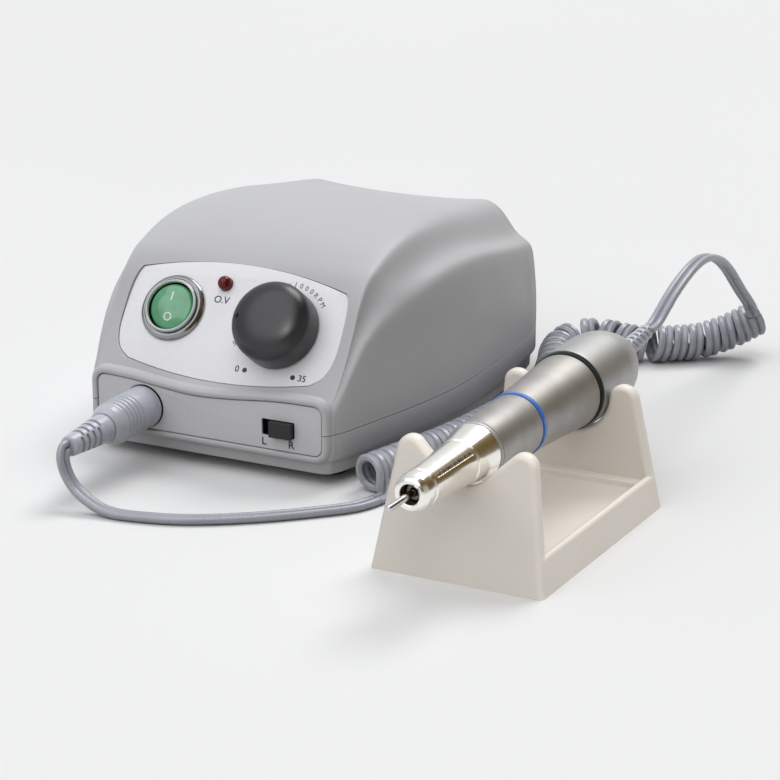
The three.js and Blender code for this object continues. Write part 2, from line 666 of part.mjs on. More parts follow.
function transformer() {
  const bottom = box.footHeight + base.floor + gap;
  const { width, height, depth, leg } = core;
  const window = (width - leg * 2 - leg) / 2;
  const windowHeight = height - leg;
  const at = (x) => block(window, depth + overrun * 2, windowHeight, x, coreY, bottom + leg / 2);
  const laminations = cut(solid(block(width, depth, height, 0, coreY, bottom)),
    at(-(leg + window) / 2), at((leg + window) / 2));
  piece("transformer_core", laminations, coreSteel);
  const coil = block(leg + (window - gap) * 2, depth + windingProud * 2, windowHeight - gap * 2, 0, coreY,
    bottom + leg / 2 + gap);
  const hole = block(leg + gap * 2, depth + gap * 2, height * 2, 0, coreY, 0);
  piece("transformer_winding", cut(solid(coil), hole), copper);
}

function boardPosts() {
  const dx = board.width / 2 - board.postInset;
  const dy = boardDepth / 2 - board.postInset;
  return [-1, 1].flatMap((i) => [-1, 1].map((k) => [i * dx, boardY + k * dy]));
}

function electronics() {
  const bottom = box.footHeight + base.floor + board.lift;
  piece("circuit_board", block(board.width, boardDepth, board.thick, 0, boardY, bottom), boardGreen);
  const top = bottom + board.thick + gap;
  const canY = boardY + boardDepth * capacitorPlace_share;
  const can = rodUp(capacitor.radius, top, top + capacitor.height).translate(capacitor.x, canY, 0);
  piece("smoothing_capacitor", can, blackPlastic);
  const sinkY = boardY + boardDepth * heatSinkPlace_share;
  let sink = joined(block(heatSink.width, heatSink.plate, heatSink.height, heatSink.x, sinkY, top));
  const pitch = (heatSink.width - heatSink.finThick) / (heatSink.fins - 1);
  for (let i = 0; i < heatSink.fins; i++) {
    const x = heatSink.x - (heatSink.width - heatSink.finThick) / 2 + i * pitch;
    sink = sink.add(solid(block(heatSink.finThick, heatSink.depth, heatSink.height, x,
      sinkY + heatSink.depth / 2, top)));
  }
  piece("heat_sink", sink, satinSteel);
}

// Rear panel with the mains inlet, the pedal jack and the fuse

function rearPanel() {
  const y = rearY - rear.thick;
  const sheet = block(rearHalf * 2, rear.thick, rear.topZ - rear.bottomZ, 0, y + rear.thick / 2 + gap,
    rear.bottomZ);
  const rest = inlet.flange - gap;
  const opening = block(inlet.width - rest * 2, rear.thick + overrun * 2, inlet.height - rest * 2, inlet.x, y,
    inlet.z - inlet.height / 2 + rest);
  const plate = cut(solid(sheet), opening,
    rod(jack.bodyRadius + gap, y - overrun, y + overrun * 2).translate(jack.x, 0, jack.z),
    rod(fuse.bodyRadius + gap, y - overrun, y + overrun * 2).translate(fuseX, 0, fuse.z));
  piece("rear_panel", plate, greyShell);
}

const rearFace = rearY + gap;

function mainsInlet() {
  const { x, z, width, height, flange, depth, wellWidth, wellHeight, wellDepth } = inlet;
  const outside = rearFace + gap;
  const body = joined(
    block(width, flange, height, x, outside + flange / 2, z - height / 2),
    block(width - flange * 2, depth, height - flange * 2, x, outside + flange - depth / 2,
      z - height / 2 + flange));
  const mouth = outside + flange;
  let hollowed = cut(body, block(wellWidth, wellDepth * 2, wellHeight, x, mouth, z - wellHeight / 2));
  for (const i of [-1, 0, 1]) {
    const low = i === 0 ? z - inletPin.height / 2 : z - inletPin.height / 2 + inletPin.drop;
    hollowed = hollowed.add(solid(block(inletPin.width, inletPin.length + gap, inletPin.height,
      x + i * inletPin.pitch, mouth - wellDepth + inletPin.length / 2 - gap / 2, low)));
  }
  piece("mains_inlet", hollowed, blackPlastic);
}

function pedalJack() {
  const outside = rearFace + gap;
  const mouth = outside + jack.rise;
  const barrel = joined(rod(jack.radius, outside, mouth),
    rod(jack.bodyRadius, outside - jack.depth, outside + jack.rise / 2));
  const body = cut(barrel, rod(jack.bore, mouth - jack.boreDepth, mouth + overrun));
  piece("pedal_jack", body, blackPlastic).position.set(jack.x, 0, jack.z);
}

function fuseHolder() {
  const outside = rearFace + gap;
  const body = joined(rod(fuse.flange, outside, outside + fuse.flangeThick),
    rod(fuse.bodyRadius, outside - fuse.depth, outside + fuse.flangeThick / 2));
  piece("fuse_holder", body, blackPlastic).position.set(fuseX, 0, fuse.z);
  const start = outside + fuse.flangeThick + gap;
  const end = start + fuse.capRise;
  const slot = block(fuse.slotLength, fuse.slotWidth * 2, fuse.slotWidth, 0, end, -fuse.slotWidth / 2);
  const cap = cut(solid(turned([
    [0, start], [fuse.capRadius, start], [fuse.capRadius, end - fuse.capRound],
    [fuse.capRadius - fuse.capRound, end], [0, end],
  ])), slot);
  piece("fuse_cap", cap, blackPlastic).position.set(fuseX, 0, fuse.z);
}

// Output plug, its boot and its pins

function outputPlug() {
  const start = panelFaceY - gap;
  const end = start - plug.length;
  const { radius, tipRadius, shoulder, shoulderDrop } = plug;
  const profile = [[0, start], [radius, start], [radius, start - plugBand.start]];
  for (let i = 0; i < plugBand.count; i++) {
    const s = start - plugBand.start - i * plugBand.pitch;
    profile.push([radius - plugBand.depth, s - (plugBand.pitch - plugBand.width) / 2],
      [radius, s - (plugBand.pitch - plugBand.width)], [radius, s - plugBand.pitch]);
  }
  profile.push([radius - shoulderDrop, end + shoulder], [tipRadius, end + gap], [0, end + gap]);
  const body = cut(solid(turned(profile.reverse(), plugSteps)),
    rod(plugPins.radius + gap, start - overrun * 2, start + overrun));
  piece("plug_body", body, cordGrey).position.set(plug.x, 0, plug.z);
  cordNames.add("plug_body");

  const { length, ribs, ribDepth } = boot;
  const taper = (t) => boot.radius + (boot.tipRadius - boot.radius) * t;
  const bootProfile = [[0, end - length]];
  const ribPitch = length / ribs;
  for (let i = ribs - 1; i >= 0; i--) {
    const near = end - i * ribPitch;
    const far = near - ribPitch;
    const outer = taper((i + 0.5) / ribs);
    bootProfile.push([outer - ribDepth, far], [outer - ribDepth, far + ribPitch * ribStart_share],
      [outer, far + ribPitch * ribRise_share], [outer, near - ribPitch * ribEnd_share]);
  }
  bootProfile.push([boot.radius, end], [0, end]);
  piece("plug_boot", turned(bootProfile, plugSteps), cordGrey).position.set(plug.x, 0, plug.z);
  cordNames.add("plug_boot");

  const inside = start - overrun * 2 + gap;
  let insert = joined(rod(plugPins.radius, inside, panelFaceY + plugPins.length));
  for (let i = 0; i < plugPins.count; i++) {
    const turn = ((i + 0.5) * Math.PI * 2) / plugPins.count;
    insert = cut(insert, rod(plugPins.pinRadius + gap, panelFaceY + plugPins.length - plugPins.pinLength,
      panelFaceY + plugPins.length + overrun, 6)
      .translate(plugPins.pinCircle * Math.cos(turn), 0, plugPins.pinCircle * Math.sin(turn)));
  }
  piece("plug_insert", insert, blackPlastic).position.set(plug.x, 0, plug.z);
  cordNames.add("plug_insert");
}

// Handpiece: every piece is turned about the local Y axis from the nose tip

const stand = new THREE.Group();
stand.position.set(hand.x, hand.frontY, 0);
stand.rotation.z = THREE.MathUtils.degToRad(hand.yaw);
drill.add(stand);
const handpiece = new THREE.Group();
handpiece.position.set(0, hand.noseY, hand.axisZ);
stand.add(handpiece);
stand.updateMatrixWorld(true);

const ringStart = nose.length + gap;
const twistStart = ringStart + bezelRing.length + gap;
const colourStart = twistStart + twist.length + gap;
const gripStart = colourStart + colourRing.length + gap;
const sealStart = gripStart + grip.length + gap;
const caseStart = sealStart + seal.length + gap;
const caseEnd = caseStart + motorCase.length;

// Outer lines as shares of the piece's radius and length
const nose_shares = [
  [0.47, 0], [0.56, 0.012], [0.625, 0.04], [0.655, 0.09], [0.69, 0.28], [0.65, 0.288], [0.65, 0.3],
  [0.7, 0.31], [0.84, 0.845], [0.81, 0.852], [0.81, 0.865], [0.86, 0.875], [1, 1],
];
const grip_shares = [[0.825, 0], [0.845, 0.15], [0.875, 0.36], [0.92, 0.6], [0.965, 0.82], [1, 1]];
const case_shares = [
  [0.985, 0], [1, 0.035], [1, 0.47], [0.978, 0.59], [0.91, 0.7], [0.82, 0.78], [0.73, 0.85], [0.62, 0.9],
  [0.48, 0.955], [0.29, 1],
];

function shaped(shares, radius, start, length) {
  return shares.map(([r, s]) => [r * radius, start + s * length]);
}

function handpieceShell() {
  piece("nose_cone", turned([
    [nose.mouth, 0], ...shaped(nose_shares, nose.radius, 0, nose.length),
    [nose.bearingBore, nose.length], [nose.bearingBore, nose.seat], [nose.bore, nose.seat],
    [nose.bore, nose.boreStart], [nose.mouth, nose.boreStart], [nose.mouth, 0],
  ]), chrome, handpiece);
  const band = (name, { bore, radius, length }, start, look) =>
    piece(name, ring(bore, radius, start, start + length, roundSteps), look, handpiece);
  band("silver_ring", bezelRing, ringStart, satinSteel);
  const twistEnd = twistStart + twist.length;
  piece("twist_sleeve", turned([
    [twist.bore, twistStart], [bezelRing.radius, twistStart], [twist.radius, twistEnd],
    [twist.bore, twistEnd], [twist.bore, twistStart],
  ]), satinSteel, handpiece);
  band("blue_ring", colourRing, colourStart, blueBand);
  piece("grip_sleeve", turned([
    [grip.bore, gripStart], ...shaped(grip_shares, grip.radius, gripStart, grip.length),
    [grip.bore, gripStart + grip.length], [grip.bore, gripStart],
  ]), satinSteel, handpiece);
  band("seal_ring", seal, sealStart, rubber);
  const bellSeat = endBell.radius + gap * 2;
  const bellEnd = endBell.start + endBell.length + gap;
  piece("motor_case", turned([
    [motorCase.bore, caseStart], ...shaped(case_shares, motorCase.radius, caseStart, motorCase.length),
    [motorCase.mouth, caseEnd], [motorCase.mouth, caseEnd - motorCase.nose],
    [endBell.bore, caseEnd - motorCase.nose * 2], [bellSeat, bellEnd], [bellSeat, endBell.start - gap],
    [motorCase.bore, endBell.start - gap], [motorCase.bore, caseStart],
  ]), satinSteel, handpiece);
}

function spindleParts() {
  const { start, length, radius, rootRadius, bore } = collet;
  piece("collet", turned([
    [bore, start], [radius, start], [radius, nose.boreStart + gap], [rootRadius, nose.boreStart + colletStep],
    [rootRadius, start + length], [bore, start + length], [bore, start],
  ], innerSteps), brightSteel, handpiece);
  piece("drill_bit_shank", turned([
    [0, -bit.out], [bit.tip, -bit.out], [bit.shank, -bit.out + bit.chamfer], [bit.shank, bit.inside],
    [0, bit.inside],
  ], innerSteps), brightSteel, handpiece);
  const headStart = start + length + gap;
  piece("spindle_shaft", turned([
    [0, headStart], [spindle.headRadius, headStart], [spindle.headRadius, spindle.headEnd],
    [spindle.radius, spindle.headEnd], [spindle.radius, spindle.end], [0, spindle.end],
  ], innerSteps), brightSteel, handpiece);
  const rotorStart = stator.start + rotor.inset;
  const rotorEnd = stator.start + stator.length - rotor.inset;
  piece("motor_rotor", ring(spindle.radius + gap, rotor.radius, rotorStart, rotorEnd), copper, handpiece);
  piece("commutator", ring(spindle.radius + gap, commutator.radius, rotorEnd + gap, commutator.end),
    copper, handpiece);
}

function bearingsAndMotor() {
  const balls = (name, outer, start, width) =>
    piece(name, ring(spindle.radius + gap, outer, start, start + width), brightSteel, handpiece);
  balls("front_bearing", nose.bearingBore - gap, nose.seat + gap, frontBearingWidth);
  balls("middle_bearing", middleBearing.radius, middleBearing.start, middleBearing.width);
  const caseInner = motorCase.bore - gap;
  piece("motor_magnets", ring(caseInner - stator.wall, caseInner, stator.start, stator.start + stator.length),
    coreSteel, handpiece);
  const { start, length, radius, bore } = endBell;
  const bellEnd = start + length;
  const seatStart = bellEnd - rearBearing.width;
  const bell = turned([
    [bore, start], [radius, start], [radius, bellEnd], [spindle.radius + gap * 2, bellEnd],
    [spindle.radius + gap * 2, seatStart - gap], [bore, seatStart - gap], [bore, start],
  ], innerSteps);
  piece("motor_end_bell", bell, blackPlastic, handpiece);
  const cams = ring(cam.bore, cam.radius, cam.start, cam.start + cam.length);
  piece("chuck_cam_ring", cams, brightSteel, handpiece);
}

function brushes() {
  const middle = commutator.end - brush.width / 2;
  [-1, 1].forEach((side, i) => {
    const x = side * (commutator.radius + gap + brush.length / 2);
    const carbon = block(brush.length, brush.width, brush.height, x, middle, -brush.height / 2);
    piece(`carbon_brush_${i + 1}`, carbon, rubber, handpiece);
  });
}

function strainRelief() {
  const { length, radius, tipRadius, tilt, inside, ribs } = relief;
  const profile = [[0, -inside], [radius * rootRadius_share, -inside]];
  const pitch = (length - inside) / ribs;
  for (let i = 0; i < ribs; i++) {
    const outer = radius + ((tipRadius - radius) * i) / ribs;
    const [near, drop, far] = groove_shares.map((share) => (i + share) * pitch);
    const inner = outer * groove_share;
    profile.push([outer, i * pitch], [outer, near], [inner, drop], [inner, far]);
  }
  profile.push([tipRadius * groove_share, length - inside], [0, length - inside]);
  const sleeve = piece("handpiece_strain_relief", turned(profile, innerSteps), cordGrey, handpiece);
  sleeve.position.set(0, caseEnd, 0);
  sleeve.rotation.x = THREE.MathUtils.degToRad(tilt);
  sleeve.updateWorldMatrix(true, false);
  return sleeve;
}

// Cradle

// One end wall in X and Z: two round-topped prongs and the notch between them
function endWallOutline(notchRadius) {
  const { halfWidth, prongX, prongTop, prongRadius } = cradle;
  const steps = 6;
  const topZ = prongTop - prongRadius;
  const seatRadius = notchRadius + gap;
  const rise = topZ - hand.axisZ;
  const slant = Math.asin((seatRadius + prongRadius) / Math.hypot(prongX, rise)) + Math.atan2(rise, prongX);
  const slope = THREE.MathUtils.radToDeg(slant);
  const lean = THREE.MathUtils.radToDeg(Math.atan2(halfWidth - prongX - prongRadius, topZ));
  const prong = arc(prongX, topZ, prongRadius, lean, slope + 90, steps);
  const notch = arc(0, hand.axisZ, seatRadius, slope - 90, -90, steps);
  const right = [[halfWidth, 0], ...prong, ...notch];
  const left = right.slice(0, -1).map(([x, z]) => [-x, z]).reverse();
  return [...right, ...left];
}

// Slants an upright wall so that it leans back by an angle as it rises
function leaned(geometry, lean, y) {
  const slope = Math.tan(THREE.MathUtils.degToRad(lean));
  const place = geometry.attributes.position;
  for (let i = 0; i < place.count; i++) {
    place.setY(i, place.getY(i) + place.getZ(i) * slope + y);
  }
  return geometry;
}

// A rounded rectangle in plan at a height, drawn in as the walls lean and by a skin
function cradleLevel(z, drawn) {
  const { halfWidth, depth, corner, lean, sideLean } = cradle;
  const half = halfWidth - z * Math.tan(THREE.MathUtils.degToRad(sideLean)) - drawn;
  const near = z * Math.tan(THREE.MathUtils.degToRad(lean)) + drawn;
  const far = depth - near;
  const r = corner - drawn;
  const steps = 3;
  return [
    ...arc(-half + r, near + r, r, 180, 270, steps), ...arc(half - r, near + r, r, 270, 360, steps),
    ...arc(half - r, far - r, r, 0, 90, steps), ...arc(-half + r, far - r, r, 90, 180, steps),
  ].map(([x, y]) => [x, y, z]);
}

function cradleStand() {
  const { depth, wallHeight, trayZ, skin, endWall, lean, prongTop, ledge, ledgeRise } = cradle;
  const block3 = (low, high, drawn) => solid(loft([cradleLevel(low, drawn), cradleLevel(high, drawn)]));
  const frontWall = leaned(slabY(endWallOutline(nose.seatRadius), 0, endWall), lean, 0);
  const rearWall = leaned(slabY(endWallOutline(motorCase.radius), -endWall, 0), -lean, depth);
  const walls = joined(frontWall, rearWall).intersect(block3(0, prongTop, 0));
  const well = block3(trayZ, wallHeight + overrun, skin);
  const far = depth - trayZ * Math.tan(THREE.MathUtils.degToRad(lean)) - endWall;
  const step = block((cradle.halfWidth - skin * 2) * 2, ledge + endWall, ledgeRise, 0, far - ledge / 2,
    trayZ - skin / 2);
  const hollow = block3(-overrun, trayZ - skin, skin);
  const body = block3(0, wallHeight, 0).subtract(well).add(walls).add(solid(step)).subtract(hollow);
  piece("cradle", body, warmPlastic, stand);
}

// Cords

// A plain tube along hand-chosen points
function cordTube(name, points) {
  const curve = new THREE.CatmullRomCurve3(points.map((p) => new THREE.Vector3(...p)));
  const sides = 8;
  const section = new THREE.Shape(arc(0, 0, cord.tube / 2, 0, 360, sides).slice(0, sides)
    .map(([x, y]) => new THREE.Vector2(x, y)));
  const steps = Math.round(curve.getLength() / (cord.tube * 2));
  const tube = new THREE.ExtrudeGeometry(section, { steps, extrudePath: curve, bevelEnabled: false });
  piece(name, tube, cordGrey);
  cordNames.add(name);
  return curve;
}

// Route of the lead from the plug's boot along the table to the first curl
const leadRoute = [
  [-27.2, -58.4, 20.6], [-27.2, -60.6, 20.4], [-26.6, -62.6, 17.4], [-24.4, -63.4, 12.2], [-20.6, -64, 7.9],
  [-15.3, -65, 4.9], [-9.5, -65.2, 2.6], [-2.5, -65, 1.7], [6.1, -63.6, 1.7], [18.2, -60, 1.7],
  [29.8, -54, 1.7], [44.2, -43.8, 1.7], [57.6, -31.8, 1.7], [67.2, -21.6, 1.7], [70.4, -15, 1.7], [71.3, -11.8, 1.7],
];

// Route of the curly cord's axis, beside the box and round behind the cradle
const curlRoute = [
  [65.1, -4, 8], [69.3, 14, 7.7], [74.1, 32, 7.7], [77.5, 50, 7.7], [79.8, 70, 7.7], [80.4, 92, 7.7],
  [79.4, 112, 7.7], [76.4, 130, 7.7], [71.2, 147, 7.7], [66.6, 160, 8], [65.6, 171, 8.8], [69.4, 180.4, 9.4],
  [78, 184.6, 9], [87.6, 186, 8], [96, 188.6, 7.7], [104, 194, 7.7], [113, 200.6, 8.3], [122.4, 207.2, 11.6],
  [131, 213.1, 16.5],
];

// Frame on the curly cord's axis: point, heading, right hand and up
function axisFrame(curve, t) {
  const point = curve.getPointAt(t);
  const heading = curve.getTangentAt(t).normalize();
  const right = new THREE.Vector3(0, 0, 1).cross(heading).negate().normalize();
  return { point, heading, right, up: right.clone().cross(heading) };
}

// Shares of the axis at each step of the curls; curls open where the axis bends
function curlStations(curve) {
  const samples = 400;
  const length = curve.getLength();
  const turns = [0];
  for (let i = 1; i <= samples; i++) {
    const a = curve.getTangentAt((i - 1) / samples);
    const b = curve.getTangentAt(i / samples);
    const bend = a.angleTo(b) / (length / samples);
    const room = 1 - Math.min((curl.radius + cord.thick / 2) * bend, tightest_share);
    turns.push(turns[i - 1] + (length / samples) * (room / curl.pitch));
  }
  const count = Math.round(turns[samples]);
  const total = count * curl.steps;
  const stations = [];
  let k = 0;
  for (let i = 0; i <= total; i++) {
    const want = (turns[samples] * i) / total;
    while (k < samples - 1 && turns[k + 1] < want) k++;
    stations.push((k + (want - turns[k]) / (turns[k + 1] - turns[k])) / samples);
  }
  return stations;
}

// Points of the curly cord's own middle line with the way its width lies
function curlLine() {
  const curve = new THREE.CatmullRomCurve3(curlRoute.map((p) => new THREE.Vector3(...p)));
  const line = curlStations(curve).map((t, i) => {
    const { point, heading, right, up } = axisFrame(curve, Math.min(t, 1));
    const turn = (i * Math.PI * 2) / curl.steps;
    point.addScaledVector(right, curl.radius * Math.cos(turn));
    point.addScaledVector(up, curl.radius * Math.sin(turn));
    return { point, across: heading.clone() };
  });
  const first = line[0];
  const leadEnd = new THREE.Vector3(...leadRoute[leadRoute.length - 1]);
  const leadDir = leadEnd.clone().sub(new THREE.Vector3(...leadRoute[leadRoute.length - 2])).normalize();
  const side = new THREE.Vector3(0, 0, 1).cross(leadDir).normalize();
  const start = leadEnd.clone().addScaledVector(leadDir, gap);
  const straight = start.clone().addScaledVector(leadDir, cord.thick);
  side.negate();
  const entry = [{ point: start, across: side.clone() }, { point: straight, across: side.clone() }];
  const rise = new THREE.CubicBezierCurve3(straight,
    straight.clone().addScaledVector(leadDir, cord.thick),
    first.point.clone().addScaledVector(new THREE.Vector3(0, 0, -1), cord.thick),
    first.point);
  const riseSteps = 5;
  for (let i = 1; i < riseSteps; i++) {
    const across = side.clone().lerp(first.across, i / riseSteps).normalize();
    entry.push({ point: rise.getPoint(i / riseSteps), across });
  }
  const last = line[line.length - 1];
  const upward = axisFrame(curve, 1).up;
  const tail = { point: last.point.clone().addScaledVector(upward, cord.thick), across: last.across.clone() };
  return { line: [...entry, ...line, tail], upward };
}

function curlyCord() {
  const { line, upward } = curlLine();
  const rings = line.map(({ point, across }, i) => {
    const before = line[Math.max(i - 1, 0)].point;
    const after = line[Math.min(i + 1, line.length - 1)].point;
    const along = after.clone().sub(before).normalize();
    const wide = across.clone().addScaledVector(along, -across.dot(along)).normalize();
    const deep = along.clone().cross(wide);
    return Array.from({ length: curl.sides }, (_, k) => {
      const turn = ((k + 0.5) * Math.PI * 2) / curl.sides;
      const corner = point.clone().addScaledVector(wide, (cord.width / 2) * Math.cos(turn));
      return corner.addScaledVector(deep, (cord.thick / 2) * Math.sin(turn)).toArray();
    });
  });
  piece("curly_cord", loft(rings), cordGrey);
  cordNames.add("curly_cord");
  const curls = (line.length / curl.steps).toFixed(1);
  console.log("least gap between curls", leastGap(rings).toFixed(2), "mm,", curls, "curls");
  const end = line[line.length - 1].point;
  return { end, upward };
}

// Least distance between corner points that lie more than half a curl apart
function leastGap(rings) {
  let least = Infinity;
  const points = rings.map((loop) => loop.map((p) => new THREE.Vector3(...p)));
  const apart = curl.steps - 2;
  for (let i = 0; i < points.length; i++) {
    for (let k = i + apart; k < Math.min(points.length, i + curl.steps * 2); k++) {
      for (const a of points[i]) {
        for (const b of points[k]) least = Math.min(least, a.distanceTo(b));
      }
    }
  }
  return least;
}

// Build

facePlate();
upperHousing();
baseHousing();
feetAndScrews();
rimPanel();
rockerSwitch();
overloadLamp();
speedControl();
outputSocket();
directionSwitch();
transformer();
electronics();
rearPanel();
mainsInlet();
pedalJack();
fuseHolder();
outputPlug();
handpieceShell();
spindleParts();
bearingsAndMotor();
brushes();
const sleeve = strainRelief();
cradleStand();
cordTube("lead_cord", leadRoute);
const { end: curlEnd, upward } = curlyCord();

// Route of the cord from the last curl up and over to the handpiece
const reliefTip = new THREE.Vector3(0, relief.length - relief.inside + gap, 0)
  .applyMatrix4(sleeve.matrixWorld);
const reliefDir = new THREE.Vector3(0, 1, 0).transformDirection(sleeve.matrixWorld);
const tailRoute = [
  curlEnd.clone().addScaledVector(upward, gap).toArray(),
  curlEnd.clone().addScaledVector(upward, cord.tube).toArray(),
  [132.4, 202, 26.4], [131.7, 193.8, 33.6], [131.7, 185.2, 40.6], [131.9, 176.8, 47], [132.2, 166.7, 53],
  [132.4, 157.1, 56.8], [132.7, 146.1, 59], [133, 135, 58.8], [133, 123.4, 56.4], [132.8, 113.4, 52.9],
  reliefTip.clone().addScaledVector(reliefDir, cord.tube * 2).toArray(),
  reliefTip.toArray(),
];
cordTube("tail_cord", tailRoute);

// The origin goes to the middle of the footprint of all but the cord and plug
drill.updateMatrixWorld(true);
const footprint = new THREE.Box3();
drill.traverse((node) => {
  if (node.isMesh && !cordNames.has(node.name)) footprint.expandByObject(node, true);
});
const middle = footprint.getCenter(new THREE.Vector3());
drill.position.set(-middle.x, -middle.y, -footprint.min.z);
drill.updateMatrixWorld(true);

export default drill;
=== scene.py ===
# Electric nail drill: camera, light, cords, dressed pieces and materials
import bpy
import bmesh
import math
import numpy as np
from mathutils import Matrix, Vector


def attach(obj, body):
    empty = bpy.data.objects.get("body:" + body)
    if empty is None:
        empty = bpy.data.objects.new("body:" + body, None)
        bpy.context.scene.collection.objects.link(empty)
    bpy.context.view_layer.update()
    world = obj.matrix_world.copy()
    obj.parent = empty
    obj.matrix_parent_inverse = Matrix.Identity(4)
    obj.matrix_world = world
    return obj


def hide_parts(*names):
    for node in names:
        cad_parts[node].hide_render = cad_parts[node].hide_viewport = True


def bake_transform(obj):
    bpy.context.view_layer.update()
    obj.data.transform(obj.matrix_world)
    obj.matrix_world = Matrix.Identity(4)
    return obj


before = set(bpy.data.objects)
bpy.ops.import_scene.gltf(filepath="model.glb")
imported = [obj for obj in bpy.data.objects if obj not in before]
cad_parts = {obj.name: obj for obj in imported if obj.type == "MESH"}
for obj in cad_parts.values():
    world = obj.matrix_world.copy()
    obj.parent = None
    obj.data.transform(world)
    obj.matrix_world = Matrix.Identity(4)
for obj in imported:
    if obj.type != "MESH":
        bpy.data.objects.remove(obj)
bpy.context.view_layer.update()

MM = 0.001
MICRON = 0.000001
PANEL_Y = -6.7  # front face of the lower panel in the design frame


def frame_shift():
    """From the design frame, centred on the box's front, to the row frame, in millimetres."""
    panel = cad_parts["lower_panel"]
    corners = np.array([panel.matrix_world @ v.co for v in panel.data.vertices]) / MM
    low, high = corners.min(axis=0), corners.max(axis=0)
    return np.array([(low[0] + high[0]) / 2, low[1] - PANEL_Y, 0.0])


SHIFT = frame_shift()


def to_row(points):
    """Design millimetres to row metres."""
    return (np.asarray(points, float) + SHIFT) * MM


# Camera
LENS = 133.45  # millimetres on a 36 mm sensor
CAMERA_PLACE = (510.5, -869.7, 359.8)
CAMERA_TARGET = (58.3, 25.5, 30.0)


def scene_object(name, data):
    obj = bpy.data.objects.new(name, data)
    bpy.context.scene.collection.objects.link(obj)
    return obj


def add_camera():
    data = bpy.data.cameras.new("camera")
    data.sensor_width = 36.0
    data.lens = LENS
    data.clip_start = 0.01
    data.clip_end = 50.0
    camera = scene_object("camera", data)
    place_at, target = Vector(to_row(CAMERA_PLACE)), Vector(to_row(CAMERA_TARGET))
    camera.location = place_at
    camera.rotation_euler = (target - place_at).to_track_quat("-Z", "Y").to_euler()
    bpy.context.scene.camera = camera


add_camera()


# Curves in numpy
def hermite(p1, p2, m1, m2, t):
    """A point between p1 and p2 of a curve with the slopes m1 and m2 at its ends."""
    return ((2 * t**3 - 3 * t**2 + 1) * p1 + (t**3 - 2 * t**2 + t) * m1
            + (3 * t**2 - 2 * t**3) * p2 + (t**3 - t**2) * m2)


def bezier(points, count):
    """Points of a Bezier curve by its control points."""
    out = []
    for t in np.linspace(0, 1, count):
        level = np.asarray(points, float)
        while len(level) > 1:
            level = level[:-1] * (1 - t) + level[1:] * t
        out.append(level[0])
    return out


def catmull(points, per_span, power=0.0):
    """Points of a Catmull-Rom curve, as three.js draws it: uniform, or centripetal when
    power is 0.5."""
    p = np.asarray(points, float)
    ends = (2 * p[0] - p[1], 2 * p[-1] - p[-2]) if power else (p[0], p[-1])
    p = np.vstack([ends[0], p, ends[1]])
    out = []
    for p0, p1, p2, p3 in zip(p, p[1:], p[2:], p[3:]):
        d0, d1, d2 = (max(np.linalg.norm(b - a) ** power, 1e-9) for a, b in ((p0, p1), (p1, p2), (p2, p3)))
        m1 = ((p1 - p0) / d0 - (p2 - p0) / (d0 + d1) + (p2 - p1) / d1) * d1
        m2 = ((p2 - p1) / d1 - (p3 - p1) / (d1 + d2) + (p3 - p2) / d2) * d1
        out += [hermite(p1, p2, m1, m2, k / per_span) for k in range(per_span)]
    return np.array(out + [p[-2]])


def centripetal(points, per_span):
    return catmull(points, per_span, 0.5)


def lengths_along(line):
    return np.concatenate([[0], np.cumsum(np.linalg.norm(np.diff(line, axis=0), axis=1))])


def resampled(line, count):
    at = lengths_along(line)
    want = np.linspace(0, at[-1], count)
    return np.stack([np.interp(want, at, line[:, k]) for k in range(3)], axis=1)


def unit(v):
    v = np.asarray(v, float)
    n = np.linalg.norm(v, axis=-1, keepdims=True)
    return v / np.maximum(n, 1e-12)


def tangents(line):
    return unit(np.gradient(line, axis=0))


# Mesh helpers
SHARP = 35.0  # degrees between faces from which an edge is drawn sharp
BEVEL_STEPS = 3
ROUND_STEPS = 128
MARK_LIFT = 0.02


def new_object(name, verts, faces, sharp=SHARP):
    mesh = bpy.data.meshes.new(name)
    mesh.from_pydata([tuple(v) for v in verts], [], faces)
    mesh.update()
    obj = scene_object(name, mesh)
    tidy(obj, sharp)
    return obj


def tidy(obj, sharp=SHARP):
    """Faces point out, shading is smooth up to an angle."""
    bm = bmesh.new()
    bm.from_mesh(obj.data)
    bmesh.ops.remove_doubles(bm, verts=bm.verts, dist=1e-6)
    bmesh.ops.recalc_face_normals(bm, faces=bm.faces)
    bm.to_mesh(obj.data)
    bm.free()
    obj.data.shade_smooth()
    obj.data.set_sharp_from_angle(angle=math.radians(sharp))


def evaluated_mesh(obj):
    """The mesh of an object with its modifiers, or of its letters."""
    graph = bpy.context.evaluated_depsgraph_get()
    graph.update()
    return bpy.data.meshes.new_from_object(obj.evaluated_get(graph))


def cut(obj, *others, operation="DIFFERENCE", sharp=None):
    """Cuts other objects out of obj, or joins them to it, and deletes them."""
    for other in others:
        modifier = obj.modifiers.new("cut", "BOOLEAN")
        modifier.operation = operation
        modifier.solver = "MANIFOLD"
        modifier.object = other
        mesh = evaluated_mesh(obj)
        obj.modifiers.clear()
        obj.data = mesh
        bpy.data.objects.remove(other)
    if sharp:
        tidy(obj, sharp)


def loft(name, rings, closed_ends=True, sharp=SHARP):
    """Skin through rings of equal length; each end is closed by one face."""
    rings = np.asarray(rings, float)
    count, size = rings.shape[:2]
    faces = []
    for start in range(0, (count - 1) * size, size):
        for i in range(size):
            a, b = start + i, start + (i + 1) % size
            faces.append((a, b, b + size, a + size))
    if closed_ends:
        faces += [tuple(range(start, start + size)) for start in (0, (count - 1) * size)]
    return new_object(name, rings.reshape(-1, 3), faces, sharp)


def ring_at(outline, height, plane="xy"):
    """A flat outline at a height over its plane, in 3-D."""
    ring = np.column_stack([outline, np.full(len(outline), height)])
    return ring if plane == "xy" else ring[:, [0, 2, 1]]


